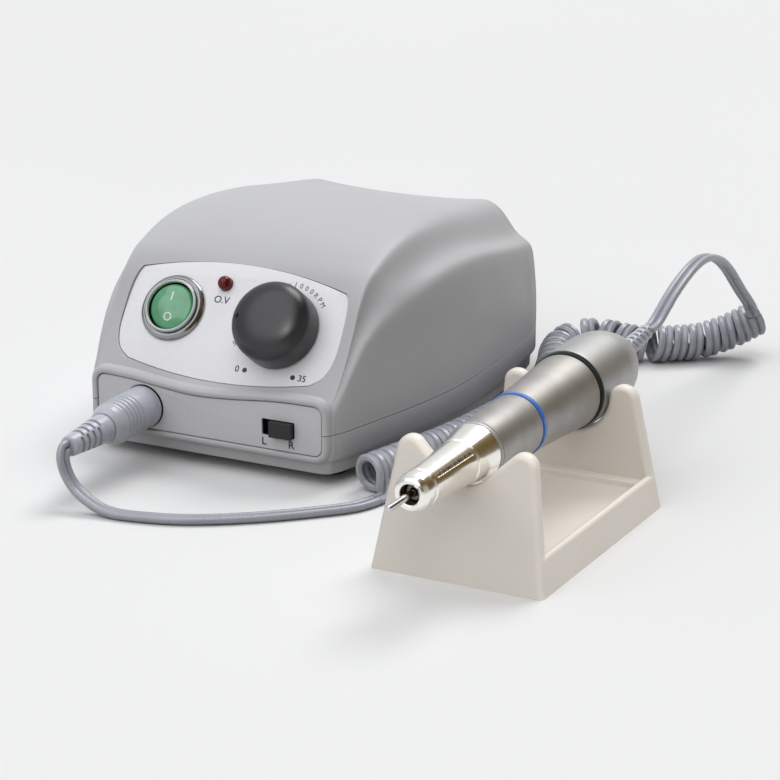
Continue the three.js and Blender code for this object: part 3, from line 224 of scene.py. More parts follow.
def slab(name, outline, low, high, matrix=None, plane="xy", bevel=0.0):
    """A flat outline in millimetres given thickness, with round edges when bevel is set."""
    outline = np.asarray(outline, float)
    levels = [(outline, low), (outline, high)]
    if bevel > 0:
        inward = outline_normals(outline) * -bevel
        quarter = [math.pi / 2 * i / BEVEL_STEPS for i in range(BEVEL_STEPS + 1)]
        levels = [(outline + inward * (1 - math.sin(a)), low + bevel * (1 - math.cos(a))) for a in quarter]
        levels += [(outline + inward * (1 - math.cos(a)), high - bevel * (1 - math.sin(a))) for a in quarter]
    return loft(name, place([ring_at(points, height, plane) for points, height in levels], matrix))


def place(points, matrix=None):
    """Local millimetres to row metres."""
    points = np.asarray(points, float)
    if matrix is not None:
        m = np.array(matrix)
        points = points @ m[:3, :3].T + m[:3, 3]
    return to_row(points)


def outline_normals(outline):
    ahead = np.roll(outline, -1, axis=0) - outline
    behind = outline - np.roll(outline, 1, axis=0)
    t = unit(unit(ahead) + unit(behind))
    n = np.stack([t[:, 1], -t[:, 0]], axis=1)
    area = 0.5 * np.sum(outline[:, 0] * np.roll(outline[:, 1], -1) - np.roll(outline[:, 0], -1) * outline[:, 1])
    return n if area > 0 else -n


def rounded(points, radius, steps=4, closed=False):
    """Rounds the corners of a polyline; radius is a number or one per point."""
    p = [np.asarray(q, float) for q in points]
    n = len(p)
    radii = [radius] * n if np.isscalar(radius) else list(radius)
    straight = 0.02  # radians; a bend as slight as this stays
    out = []
    for i in range(n):
        u, v = p[i - 1] - p[i], p[(i + 1) % n] - p[i]
        lu, lv = np.linalg.norm(u), np.linalg.norm(v)
        kept = radii[i] <= 0 or min(lu, lv) < 1e-9 or not closed and i in (0, n - 1)
        half = 0.0 if kept else math.acos(np.clip(np.dot(u, v) / (lu * lv), -1, 1)) / 2
        if not straight <= half <= math.pi / 2 - straight:
            out.append(p[i])
            continue
        reach = min(radii[i] / math.tan(half), lu * 0.48, lv * 0.48)
        a, b = p[i] + u / lu * reach, p[i] + v / lv * reach
        out += bezier((a, p[i], b), steps + 1)
    return np.array(out)


def split_long(points, longest, closed=False):
    """Adds points so that no step is longer than a length."""
    p = np.asarray(points, float)
    out = []
    n = len(p)
    for i in range(n if closed else n - 1):
        a, b = p[i], p[(i + 1) % n]
        count = max(1, int(math.ceil(np.linalg.norm(b - a) / longest)))
        out += [a + (b - a) * k / count for k in range(count)]
    if not closed:
        out.append(p[-1])
    return np.array(out)


def lathe(name, profile, matrix, axis="y", steps=96, closed=False, swell=None, sharp=SHARP):
    """Turned piece; profile is [radius, station] in millimetres. swell changes the
    radius by angle and station."""
    profile = np.asarray(profile, float)
    turn = np.arange(steps) * 2 * math.pi / steps
    poles = profile[:, 0] < 1e-6
    verts, faces, start = [], [], []
    for (r, s), pole in zip(profile, poles):
        start.append(len(verts))
        if pole:
            ring = np.array([[0.0, 0.0]])
        else:
            radius = r + (swell(turn, s, r) if swell else 0 * turn)
            ring = np.column_stack([radius * np.cos(turn), radius * np.sin(turn)])
        verts += list(ring_at(ring, s, "xz" if axis == "y" else "xy"))
    count = len(profile)
    for k in range(count if closed else count - 1):
        j = (k + 1) % count
        a, b = start[k], start[j]
        for i in range(steps):
            h = (i + 1) % steps
            if poles[k] and poles[j]:
                continue
            if poles[k]:
                faces.append((a, b + i, b + h))
            elif poles[j]:
                faces.append((a + i, b, a + h))
            else:
                faces.append((a + i, b + i, b + h, a + h))
    return new_object(name, place(verts, matrix), faces, sharp)


def rod(name, radius, low, high, matrix, axis="y", steps=48):
    return lathe(name, [(0, low), (radius, low), (radius, high), (0, high)], matrix, axis, steps)


def arc_points(x, y, radius, start, end, steps):
    a = np.radians(np.linspace(start, end, steps + 1))
    return np.stack([x + radius * np.cos(a), y + radius * np.sin(a)], axis=1)


def box_outline(x, y, half_x, half_y):
    return [(x + side * half_x, y + end * half_y) for side, end in ((-1, -1), (1, -1), (1, 1), (-1, 1))]


def round_box(low_x, low_y, high_x, high_y, r, steps):
    """The four round corners of a box, from low x and low y on."""
    corners = ((low_x + r, low_y + r, 180), (high_x - r, low_y + r, 270), (high_x - r, high_y - r, 0),
               (low_x + r, high_y - r, 90))
    return [arc_points(x, y, r, angle, angle + 90, steps) for x, y, angle in corners]


# Frames that pieces are drawn in
def turned_by(angle, axis):
    return Matrix.Rotation(math.radians(angle), 4, axis)


def frame_at(x, y, z, axis="Z", angle=0.0):
    return Matrix.Translation((x, y, z)) @ turned_by(angle, axis)


PLATE = frame_at(0, 21.6, 65.2, "X", 54.4)  # X right, Y up the plate, Z out of it
STAND = frame_at(129, -67.2, 0, "Z", -1.1)
HAND_Z = 42.1
HAND = STAND @ Matrix.Translation((0, -32.6, HAND_Z))  # Y runs from the nose to the cord
NOSE_LENGTH, NOSE_RADIUS = 46.4, 9.8
GRIP_START, GRIP_LENGTH, GRIP_RADIUS, GRIP_BORE = 79.3, 38.7, 13.7, 9.9
CASE_START, CASE_LENGTH, CASE_RADIUS, CASE_BORE = 120.4, 45.0, 14.65, 12.9
CASE_END = CASE_START + CASE_LENGTH
RELIEF = HAND @ Matrix.Translation((0, CASE_END, 0)) @ turned_by(6, "X")


# Materials
class Nodes:
    """A short way to write the node tree of a material or of the world."""

    def __init__(self, owner):
        owner.use_nodes = True
        self.tree = owner.node_tree
        self.shader = self.tree.nodes.get("Principled BSDF") or self.tree.nodes["Background"]

    def set(self, node, inputs):
        """Gives inputs, named or numbered, a value or a link."""
        for key, value in inputs.items():
            if isinstance(value, bpy.types.NodeSocket):
                self.tree.links.new(value, node.inputs[key])
            else:
                node.inputs[key].default_value = value

    def add(self, kind, inputs=None, **properties):
        node = self.tree.nodes.new("ShaderNode" + kind)
        for key, value in properties.items():
            setattr(node, key, value)
        self.set(node, inputs or {})
        return node

    def noise(self, scale, detail=2.0, rough=0.5, stretch=None):
        vector = self.add("TexCoord").outputs["Object"]
        if stretch:
            vector = self.add("Mapping", {"Vector": vector, "Scale": stretch}).outputs["Vector"]
        return self.add("TexNoise", {"Vector": vector, "Scale": scale, "Detail": detail,
                                     "Roughness": rough}).outputs["Fac"]

    def ranged(self, value, low, high, start=0.3, end=0.7):
        return self.add("MapRange", {"Value": value, "From Min": start, "From Max": end,
                                     "To Min": low, "To Max": high}).outputs["Result"]

    def mixed(self, factor, a, b):
        a, b = (c if isinstance(c, bpy.types.NodeSocket) else (*c, 1.0) for c in (a, b))
        return self.add("Mix", {0: factor, 6: a, 7: b}, data_type="RGBA").outputs[2]

    def math(self, operation, *values):
        return self.add("Math", dict(enumerate(values)), operation=operation).outputs[0]

    def bump(self, height, distance):
        return self.add("Bump", {"Height": height, "Distance": distance, "Strength": 1.0}).outputs["Normal"]

    def ramp(self, value, stops, interpolation="LINEAR"):
        node = self.add("ValToRGB", {"Fac": value})
        node.color_ramp.interpolation = interpolation
        elements = node.color_ramp.elements
        for element, (at, colour) in ((elements[0], stops[0]), (elements[1], stops[-1])):
            element.position = at
            element.color = (*colour, 1)
        for at, colour in stops[1:-1]:
            elements.new(at).color = (*colour, 1)
        return node.outputs["Color"]


def linear(colour):
    """Eight-bit display values to the numbers a shader takes."""
    shares = [c / 255.0 for c in colour]
    return tuple(c / 12.92 if c <= 0.04045 else ((c + 0.055) / 1.055) ** 2.4 for c in shares)


def scaled(colour, factor):
    return tuple(min(c * factor, 1.0) for c in colour)


def moulded(name, display, rough, grain, depth, mottle, gloss=0.5, coat=0.0, soft=(40, 0.03), edge=0.0):
    """Moulded plastic or rubber: fine grain of a depth in micrometres, faint clouds of
    colour and sheen. soft is the clouds' scale and their share of roughness, edge how
    much lighter the sharp outer edges are drawn."""
    colour = linear(display)
    material = bpy.data.materials.new(name)
    n = Nodes(material)
    size, spread = soft
    tint = n.mixed(n.ranged(n.noise(size, 3.0, 0.55), 0.0, 1.0), scaled(colour, 1 - mottle),
                   scaled(colour, 1 + mottle))
    if edge > 0:
        # Sharp outer edges are drawn lighter
        edge_lift = n.ranged(n.add("NewGeometry").outputs["Pointiness"], 0.0, edge, 0.52, 0.6)
        tint = n.mixed(edge_lift, tint, scaled(colour, 1.25))
    n.set(n.shader, {
        "Specular IOR Level": gloss, "Coat Weight": coat, "Coat Roughness": 0.08, "Base Color": tint,
        "Roughness": n.ranged(n.noise(size * 3, 3.0), rough - spread, rough + spread),
        "Normal": n.bump(n.noise(grain, 2.0, 0.6), depth * MICRON)})
    return material


def metal(name, colour, rough, marks_scale=3500, depth=4, warm=None, spread=0.05, stretch=(0.02, 1.0, 0.02)):
    """Metal with fine turning marks, of a depth in micrometres, round the handpiece's axis."""
    mottle = 0.04
    material = bpy.data.materials.new(name)
    n = Nodes(material)
    marks = n.noise(marks_scale, 3.0, 0.6, stretch)
    clouds = n.ranged(n.noise(60.0, 3.0, 0.6), 0.0, 1.0, 0.35, 0.65)
    n.set(n.shader, {
        "Metallic": 1.0,
        "Base Color": n.mixed(clouds, scaled(colour, 1 - mottle), warm or scaled(colour, 1 + mottle)),
        "Roughness": n.ranged(marks, rough - spread, rough + spread), "Normal": n.bump(marks, depth * MICRON)})
    return material


LOOKS = {
    "shell": moulded("grey_shell", (196, 196, 199), 0.46, 2600, 12, 0.02, 0.45, soft=(18, 0.03), edge=0.3),
    "silver": moulded("silver_sheet", (248, 248, 251), 0.42, 5200, 10, 0.025, 0.6, soft=(900, 0.05)),
    # A darker copy of the silver sheet: painted shade for the upright lower panel
    "panel": moulded("silver_sheet_painted_shade", (214, 214, 218), 0.45, 5200, 10, 0.03, soft=(900, 0.05)),
    "knob": moulded("dark_knob", (33, 32, 37), 0.33, 3000, 10, 0.05, 0.6, soft=(60, 0.05)),
    "black": moulded("black_plastic", (25, 25, 26), 0.42, 2200, 10, 0.08),
    "rubber": moulded("rubber", (36, 36, 38), 0.75, 1800, 30, 0.1, 0.3),
    "cord": moulded("cord_grey", (166, 169, 178), 0.3, 2600, 10, 0.05, 0.75, soft=(70, 0.06)),
    "plug": moulded("plug_grey", (188, 191, 201), 0.27, 2600, 10, 0.04, 0.75, soft=(70, 0.05)),
    "cradle": moulded("warm_plastic", (221, 215, 207), 0.38, 1500, 8, 0.03, soft=(25, 0.05), edge=0.15),
    "green": moulded("green_lens", (84, 166, 116), 0.16, 900, 5, 0.14, 0.6, 0.8, soft=(160, 0.03)),
    "red": moulded("red_lens", (98, 3, 8), 0.1, 900, 2, 0.1, 0.35),
    "board": moulded("board_green", (30, 92, 52), 0.4, 500, 20, 0.2, soft=(300, 0.08)),
    # The clear collar is drawn pale: its clear plastic with a painted highlight
    "clear_collar_painted_highlight": moulded("clear_collar_painted_highlight", (205, 212, 210), 0.2, 2000, 3, 0.03, 0.7),
    "blue": moulded("blue_band", (58, 118, 214), 0.28, 2000, 4, 0.06, 0.6, 0.3),
    "ink": moulded("dial_ink", (44, 47, 72), 0.5, 3000, 3, 0.1),
    "white_ink": moulded("white_ink", (235, 240, 236), 0.4, 3000, 3, 0.03),
    "winding": metal("copper_wire", (0.55, 0.22, 0.1), 0.35, 1600, 200, stretch=(0.02, 0.02, 1.0)),
    "core": metal("core_sheet", (0.16, 0.17, 0.18), 0.5, 2200, 100),
    "bright": metal("bright_steel", (0.62, 0.62, 0.64), 0.22),
    "nose": metal("nose_chrome", (0.97, 0.96, 0.93), 0.21, 3500, 2, (0.98, 0.95, 0.89), 0.03),
    "dark_chrome": metal("dark_chrome", (0.3, 0.3, 0.31), 0.18, 2500, 1.5, spread=0.04),
    # Dark steel is painted shade: for the nose's mouth and ticks, and the collet in the mouth
    "steel_painted_shade": metal("steel_painted_shade", (0.2, 0.165, 0.13), 0.34),
    "satin": metal("satin_steel", (0.37, 0.368, 0.365), 0.5, 5200, 1.8, (0.45, 0.435, 0.41)),
    "satin_pale": metal("satin_steel_pale", (0.45, 0.452, 0.45), 0.5, 5200, 1.8),
}


def finish_piece(obj, look, body, slot=None, replaces=()):
    """A cord that runs between two bodies has no body."""
    obj.data.materials.clear()
    obj.data.materials.append(LOOKS[look])
    if body:
        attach(obj, body)
    if replaces:
        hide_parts(*replaces)
    return obj


# Cords: a flat twin lead whose two strands touch
CORD_WIDTH = 5.8
CORD_THICK = 3.2
STRAND_THICK = 2.84  # the drawn strands are a little thinner than the solids' cord


def twin_section(width=CORD_WIDTH, thick=STRAND_THICK, steps=9):
    """Outline of the twin lead: two touching rounds with a groove between."""
    radius = thick / 2
    apart = width / 2 - radius
    groove = math.degrees(math.acos(max(-1.0, -apart / radius))) - 2
    right = arc_points(apart, 0, radius, -groove, groove, steps)
    left = arc_points(-apart, 0, radius, 180 - groove, 180 + groove, steps)
    return np.vstack([right, left])


def cord_mesh(name, line, across, section):
    """Sweeps a section along a line; across gives the way its width lies."""
    along = tangents(line)
    wide = unit(across - along * np.sum(across * along, axis=1, keepdims=True))
    deep = np.cross(along, wide)
    rings = (line[:, None, :] + wide[:, None, :] * section[None, :, 0:1]
             + deep[:, None, :] * section[None, :, 1:2])
    return loft(name, to_row(rings), sharp=50.0)


def carried(line, start):
    """A width direction moved along a line without twist."""
    out = [np.asarray(start)]
    for t in tangents(line):
        out.append(unit(out[-1] - t * np.dot(out[-1], t)))
    return np.array(out[1:])


LEAD_ROUTE = [
    (-27.2, -58.4, 20.6), (-27.2, -60.6, 20.4), (-26.6, -62.6, 17.4), (-24.4, -63.4, 12.2), (-20.6, -64, 7.9),
    (-15.3, -65, 4.9), (-9.5, -65.2, 2.6), (-2.5, -65, 1.7), (6.1, -63.6, 1.7), (18.2, -60, 1.7),
    (29.8, -54, 1.7), (44.2, -43.8, 1.7), (57.6, -31.8, 1.7), (67.2, -21.6, 1.7), (70.4, -15, 1.7),
    (71.3, -11.8, 1.7),
]
CURL_ROUTE = [
    (65.1, -4, 8), (69.3, 14, 7.7), (74.1, 32, 7.7), (77.5, 50, 7.7), (79.8, 70, 7.7), (80.4, 92, 7.7),
    (79.4, 112, 7.7), (76.4, 130, 7.7), (71.2, 147, 7.7), (66.6, 160, 8), (65.6, 171, 8.8), (69.4, 180.4, 9.4),
    (78, 184.6, 9), (87.6, 186, 8), (96, 188.6, 7.7), (104, 194, 7.7), (113, 200.6, 8.3), (122.4, 207.2, 11.6),
    (131, 213.1, 16.5),
]
TAIL_MIDDLE = [
    (132.4, 202, 26.4), (131.7, 193.8, 33.6), (131.7, 185.2, 40.6), (131.9, 176.8, 47), (132.2, 166.7, 53),
    (132.4, 157.1, 56.8), (132.7, 146.1, 59), (133, 135, 58.8), (133, 123.4, 56.4), (132.8, 113.4, 52.9),
]
CURL_RADIUS = 6.1
CURL_PITCH = 6.05
CURL_STEPS = 28
SPAN_STEPS = 40
ENTRY_STEPS = 16
FIT = 0.3  # gap between two pieces that fit
RELIEF_LENGTH = 26
UP = np.array([0.0, 0.0, 1.0])


def lead_cord():
    line = resampled(centripetal(LEAD_ROUTE, SPAN_STEPS), 260)
    flat = tangents(line)
    flat[:, 2] = 0
    across = np.cross(UP, unit(flat))
    # The width is carried back from where the lead lies flat on the table to the boot
    flat_share = 0.36
    table = int(len(line) * flat_share)
    across[:table + 1] = carried(line[:table + 1][::-1], across[table])[::-1]
    line[:, 2] = np.maximum(line[:, 2], CORD_THICK / 2 + 0.1)
    return cord_mesh("lead_cord_dressed", line, across, twin_section()), line


def curl_stations(curve):
    """Shares of the axis at each step; curls open where the axis bends."""
    samples = 400
    tightest = 0.6  # most that a bend may squeeze the curls
    points = resampled(curve, samples + 1)
    t = tangents(points)
    step = lengths_along(points)[-1] / samples
    turns = [0.0]
    for i in range(1, samples + 1):
        bend = math.acos(float(np.clip(np.dot(t[i - 1], t[i]), -1, 1))) / step
        room = 1 - min((CURL_RADIUS + CORD_THICK / 2) * bend, tightest)
        turns.append(turns[-1] + step * room / CURL_PITCH)
    want = np.linspace(0, turns[-1], round(turns[-1]) * CURL_STEPS + 1)
    return np.interp(want, turns, np.linspace(0, 1, samples + 1))


def curly_cord():
    curve = resampled(centripetal(CURL_ROUTE, 60), 1201)
    stations = curl_stations(curve)
    at = np.linspace(0, 1, len(curve))
    centre, heading = (np.stack([np.interp(stations, at, rows[:, k]) for k in range(3)], axis=1)
                       for rows in (curve, tangents(curve)))
    heading = unit(heading)
    right = unit(-np.cross(UP, heading))
    up = np.cross(right, heading)
    turn = np.arange(len(stations)) * 2 * math.pi / CURL_STEPS
    line = centre + CURL_RADIUS * (right * np.cos(turn)[:, None] + up * np.sin(turn)[:, None])
    # From the lead's end into the first curl
    lead_end = np.array(LEAD_ROUTE[-1], float)
    lead_dir = unit(lead_end - np.array(LEAD_ROUTE[-2], float))
    side = -unit(np.cross(UP, lead_dir))
    start = lead_end + lead_dir * FIT
    entry = bezier([start + lead_dir * CORD_THICK, start + lead_dir * CORD_THICK * 2,
                    line[0] - UP * CORD_THICK, line[0]], ENTRY_STEPS + 1)[:-1]
    turned = [unit(side * (1 - t) + heading[0] * t) for t in np.arange(ENTRY_STEPS) / ENTRY_STEPS]
    line = np.vstack([start, entry, line, line[-1] + up[-1] * CORD_THICK])
    across = np.vstack([side, turned, heading, heading[-1]])
    # The curls' strands are drawn fuller, with fewer sides
    cord = cord_mesh("curly_cord_dressed", line, across, twin_section(6.0, 2.92, 7))
    return cord, line, up[-1]


def tail_cord(end, end_up):
    tip = np.array(RELIEF @ Vector((0, RELIEF_LENGTH + FIT, 0)))
    way = np.array(RELIEF.to_3x3() @ Vector((0, 1, 0)))
    route = [end + end_up * FIT, end + end_up * 3.4, *TAIL_MIDDLE, tip + way * 6.8, tip]
    line = resampled(centripetal(route, SPAN_STEPS), 300)
    across = np.tile([1.0, 0.0, 0.0], (len(line), 1))
    return cord_mesh("tail_cord_dressed", line, across, twin_section()), line


def metres(line):
    return float(lengths_along(line)[-1] * MM)


lead, lead_line = lead_cord()
finish_piece(lead, "cord", None, "cord_grey", ["lead_cord"])
curly, curly_path, curl_up = curly_cord()
finish_piece(curly, "cord", "box", "cord_grey", ["curly_cord"])
tail, tail_line = tail_cord(curly_path[-1], curl_up)
finish_piece(tail, "cord", None, "cord_grey", ["tail_cord"])


# Control box
BOX_HALF = 66.7
BOX_DEPTH = 160.3
FRONT_Y = -6.3
REAR_Y = FRONT_Y + BOX_DEPTH
PARTING_Z = 20.7
SHELL_HEIGHT = 83 - PARTING_Z
WALL = 2.6
BASE_Z = 6.2
SHELL_ROWS, HOLLOW_ROWS = 118, 37

SECTION_SHARES = np.array([
    [0.0, 0.093, 0.66, 0.093, 0.69, 0.078, 0.705, 0.061, 0.712, 0],
    [0.007, 0.138, 0.705, 0.14, 0.724, 0.117, 0.739, 0.093, 0.747, 0],
    [0.021, 0.169, 0.727, 0.178, 0.744, 0.166, 0.765, 0.142, 0.771, 0],
    [0.046, 0.253, 0.742, 0.266, 0.753, 0.254, 0.78, 0.23, 0.795, 0],
    [0.077, 0.364, 0.75, 0.39, 0.759, 0.371, 0.798, 0.342, 0.814, 0],
    [0.114, 0.499, 0.745, 0.544, 0.765, 0.495, 0.816, 0.454, 0.837, 0],
    [0.145, 0.612, 0.741, 0.673, 0.765, 0.583, 0.831, 0.519, 0.855, 0],
    [0.174, 0.714, 0.735, 0.759, 0.768, 0.65, 0.846, 0.566, 0.871, 0],
    [0.201, 0.795, 0.73, 0.811, 0.772, 0.711, 0.859, 0.598, 0.888, 0.2],
    [0.245, 0.878, 0.724, 0.855, 0.78, 0.764, 0.882, 0.636, 0.912, 0.4],
    [0.308, 0.948, 0.717, 0.909, 0.792, 0.801, 0.912, 0.677, 0.945, 0.55],
    [0.395, 0.992, 0.705, 0.947, 0.801, 0.827, 0.939, 0.72, 0.979, 0.6],
    [0.501, 1, 0.69, 0.955, 0.807, 0.828, 0.949, 0.731, 1, 0.6],
    [0.638, 0.968, 0.667, 0.931, 0.807, 0.785, 0.946, 0.705, 0.996, 0.6],
    [0.775, 0.904, 0.637, 0.878, 0.795, 0.717, 0.927, 0.644, 0.979, 0.6],
    [0.888, 0.828, 0.6, 0.84, 0.775, 0.667, 0.903, 0.592, 0.949, 0.6],
    [0.956, 0.778, 0.577, 0.813, 0.759, 0.641, 0.882, 0.56, 0.924, 0.6],
    [0.988, 0.752, 0.57, 0.784, 0.747, 0.609, 0.859, 0.525, 0.894, 0.6],
    [1.0, 0.703, 0.555, 0.727, 0.72, 0.559, 0.825, 0.478, 0.847, 0.6],
])


def smooth_rows(rows, count):
    """More rows between the table's own, closest where the table's rows are close."""
    x = rows[:, 0]
    slope = np.gradient(rows, x, axis=0)
    out = []
    for u in np.linspace(0, len(x) - 1, count):
        i = min(int(u), len(x) - 2)
        h = x[i + 1] - x[i]
        out.append(hermite(rows[i], rows[i + 1], h * slope[i], h * slope[i + 1], u - i))
    return np.array(out)


def section_half(row, inset):
    """Crown to parting line in X and Z."""
    _, crown, ridge_x, ridge_z, valley_x, valley_z, shoulder_x, shoulder_z, foot_x, arch = row
    lift = (ridge_z - crown) * arch
    # The valley's slope runs on, a little flatter, to a narrow ledge inside the shoulder
    ledge_share, flatter, least_rise = 0.48, 0.82, 0.36
    ledge_x = valley_x + (shoulder_x - valley_x) * ledge_share
    slope = flatter * (valley_z - ridge_z) / (valley_x - ridge_x)
    ledge_z = max(valley_z + slope * (ledge_x - valley_x), shoulder_z + (valley_z - shoulder_z) * least_rise)
    raw = [
        (0, crown), (ridge_x * 0.45, crown + lift * 0.2025), (ridge_x * 0.86, crown + lift), (ridge_x, ridge_z),
        (ridge_x + (valley_x - ridge_x) * 0.55, ridge_z + (valley_z - ridge_z) * 0.26), (valley_x, valley_z),
        (ledge_x, ledge_z), (shoulder_x, shoulder_z),
        (shoulder_x + (foot_x - shoulder_x) * 0.45, shoulder_z * 0.86), (foot_x, shoulder_z * 0.45),
        (foot_x, 0),
    ]
    return [(max(x * BOX_HALF - inset * min(1, x / ridge_x), 0),
             max(z * SHELL_HEIGHT - (inset if z > 0 else 0), 0)) for x, z in raw]


def softened(line, reach, times):
    """Rounds a mirrored half section's bends; its two ends stay."""
    for _ in range(times):
        padded = np.vstack([line[1:reach + 1][::-1] * [-1, 1], line, np.repeat(line[-1:], reach, axis=0)])
        mean = np.stack([np.convolve(padded[:, k], np.ones(2 * reach + 1) / (2 * reach + 1), "valid")
                         for k in (0, 1)], axis=1)
        ease = np.clip((len(line) - 1 - np.arange(len(line))) / (3 * reach), 0, 1)[:, None]
        line = line + (mean - line) * ease
    line[0, 0] = 0
    return line


def shell_volume(name, inset, bottom, rows, per_span, soft=False):
    rings = []
    for row in smooth_rows(SECTION_SHARES, rows):
        side = np.maximum(catmull(section_half(row, inset), per_span), 0)
        if soft:
            side = softened(side, 4, 2)
        y = FRONT_Y + inset + row[0] * (BOX_DEPTH - inset * 2)
        loop = [(-x, z) for x, z in side[1:]][::-1] + [(x, z) for x, z in side]
        rings.append([(x, y, PARTING_Z + z if z > 0 else bottom) for x, z in loop])
    return loft(name, to_row(rings))


def plan_outline(grow, rows):
    right = [(row[8] * BOX_HALF + grow, FRONT_Y - grow + row[0] * (BOX_DEPTH + grow * 2)) for row in rows]
    left = [(-x, y) for x, y in right][::-1]
    return np.array(right + left)


PANEL_HALF = BOX_HALF * 0.7032
PANEL_LOW, PANEL_HIGH = 12.2, 30.6
PANEL_THICK = 0.8
RIM_WIDTH, RIM_PROUD, RIM_SPACE = 2.0, 1.0, 0.4


def panel_outline(grow, corner=3.0):
    """Lower panel in X and Z: round corners and a soft dip in its top edge."""
    half, low, high = PANEL_HALF + grow, PANEL_LOW - grow, PANEL_HIGH + grow
    r = max(corner + grow, 0.6)
    top = np.array([(half - r, high), (0.72 * PANEL_HALF, high - 0.1), (0.5 * PANEL_HALF, high - 0.75),
                    (0.2 * PANEL_HALF, high - 2.2), (-0.12 * PANEL_HALF, high - 3.0),
                    (-0.42 * PANEL_HALF, high - 1.9), (-0.68 * PANEL_HALF, high - 0.5), (-half + r, high)])
    curve = catmull(top, 6)[1:-1]
    corners = round_box(-half, low, half, high, r, 6)
    return np.vstack([*corners[:3], curve, corners[3]])


def plate_outline(grow):
    """Front plate: arched top with two eared corners, round bottom corners."""
    half_base = BOX_HALF * 0.682
    top_half, half, foot_half = half_base * 0.938 + grow, half_base + grow, half_base * 0.84 + grow
    shoulder = half_base * 0.065
    drop = 40.2
    foot_up = -drop * 0.82

    foot = foot_up - grow - shoulder
    top = bezier([(top_half, grow), (0, 12 + grow), (-top_half, grow)], 29)
    bottom = bezier([(-foot_half, foot), (0, -drop * 2 - foot_up + shoulder - grow), (foot_half, foot)], 29)

    def side(sign):
        points = [(sign * top_half, grow), (sign * (top_half + shoulder / 2), -shoulder),
                  (sign * (half - 0.3), -drop * 0.22), (sign * half, -drop / 2 + shoulder / 2),
                  (sign * (half - 0.25), -drop * 0.62), (sign * (half - shoulder / 2), foot_up + shoulder),
                  (sign * (half - shoulder * 1.2), foot_up - shoulder * 0.1),
                  (sign * foot_half, foot)]
        return catmull(points, 5)[1:-1]

    return np.vstack([top, side(-1), bottom, side(1)[::-1]])


FRONT_CUT = FRONT_Y - 2  # cutters through the front begin here


def rear_cutters():
    cuts = []
    for half, low, high, near, far in ((53.3, 9.3, 46.3, REAR_Y - 1.6, REAR_Y + 0.5),
                                       (51.8, 10.8, 44.8, REAR_Y - WALL * 2 - 2, REAR_Y + 2)):
        outline = [(-half, low), (half, low), (half, high), (-half, high)]
        cuts.append(slab("rear", outline, near, far, plane="xz"))
    return cuts


def panel_cutters():
    return [slab("seat", panel_outline(RIM_SPACE), FRONT_CUT, PANEL_Y + PANEL_THICK + FIT, plane="xz"),
            slab("window", panel_outline(-RIM_WIDTH), FRONT_CUT, FRONT_Y + WALL * 3, plane="xz")]


ROCKER = (-25.4, -14.7)
LAMP = (-6.7, -2.6)
KNOB = (20.9, -17.0)
NECK_RADIUS, BUSH_RADIUS = 10.3, 5.0
SOCKET = frame_at(-27.2, 0, 20.6)
SLIDE_X, SLIDE_Z = 29.28, 20.4
SCREWS = [(s * 40.0, 13.7) for s in (-1, 1)] + [(s * 49.4, 134.0) for s in (-1, 1)]


def on_plate(x, up):
    return PLATE @ Matrix.Translation((x, up, 0))


def plate_holes(lamp_radius, depth):
    return [rod("hole", radius, -depth, 2, on_plate(*spot), "z")
            for radius, spot in ((NECK_RADIUS, ROCKER), (lamp_radius, LAMP), (BUSH_RADIUS, KNOB))]


def socket_room():
    return rod("socket_room", 9.3, -6, 12, SOCKET)


def upper_shell():
    shell = shell_volume("upper_shell", 0, PARTING_Z, SHELL_ROWS, 8, soft=True)
    cut(shell, shell_volume("hollow", WALL, PARTING_Z - 2, HOLLOW_ROWS, 4),
        *panel_cutters(), *rear_cutters(), slab("recess", plate_outline(0.25), -1.3, 4, PLATE),
        *plate_holes(3.4, 12), rod("pot_room", 12.3, -13.6, -3.9, on_plate(*KNOB), "z"), socket_room(),
        sharp=32)
    finish_piece(shell, "shell", "box", "grey_shell", ["upper_housing"])


def base_shell():
    rows = smooth_rows(SECTION_SHARES, SHELL_ROWS)
    top = PARTING_Z - FIT
    levels = [
        (-WALL, BASE_Z + 2.5), (-WALL, top), (-0.25, top), (0, top - 0.25), (0, 12.6), (-0.3, 11.2),
        (-0.9, 10.1), (-1.3, 9.9), (-1.6, 9.6), (-1.8, 5.2), (-2.0, 4.8), (-2.6, 4.6),
    ]
    base = loft("base_shell", to_row([ring_at(plan_outline(grow, rows), z) for grow, z in levels]))
    cut(base, *panel_cutters(), *rear_cutters(), socket_room())
    for x, y in SCREWS:
        under = frame_at(x, y, 0)
        cut(base, rod("foot_room", 6.3, 0, BASE_Z + 1.3, under, "z"), rod("screw_room", 1.8, 0, 12, under, "z"))
    tidy(base, 32)
    finish_piece(base, "shell", "box", "grey_shell", ["base_housing"])


def panel_rim():
    """Raised bead round the lower panel, split by the parting line."""
    middle = panel_outline(RIM_SPACE + RIM_WIDTH / 2)
    normals = outline_normals(middle)
    half = RIM_WIDTH / 2
    back, face_y = FRONT_Y + WALL, FRONT_Y - RIM_PROUD
    profile = [(-half, back), (-half, face_y + 0.5), (-half + 0.15, face_y + 0.15), (-half + 0.5, face_y),
               (half - 0.7, face_y), (half - 0.1, face_y + 0.25), (half + 0.35, face_y + 0.8),
               (half + 0.9, face_y + 1.6), (half + 0.9, back), (-half, back)]
    bead = loft("panel_rim", to_row([ring_at(middle + normals * out, y, "xz") for out, y in profile]),
                closed_ends=False)
    line = [(-60, PARTING_Z - FIT), (60, PARTING_Z - FIT), (60, PARTING_Z), (-60, PARTING_Z)]
    cut(bead, slab("line", line, FRONT_Y - 3, FRONT_Y + 8, plane="xz"), socket_room(), sharp=40)
    finish_piece(bead, "shell", "box", "grey_shell")


def front_plate():
    plate = slab("front_plate", plate_outline(0), -1.0, 0.0, PLATE, bevel=0.2)
    cut(plate, *plate_holes(2.8, 3), sharp=SHARP)
    finish_piece(plate, "silver", "box", "silver_sheet", ["face_plate"])


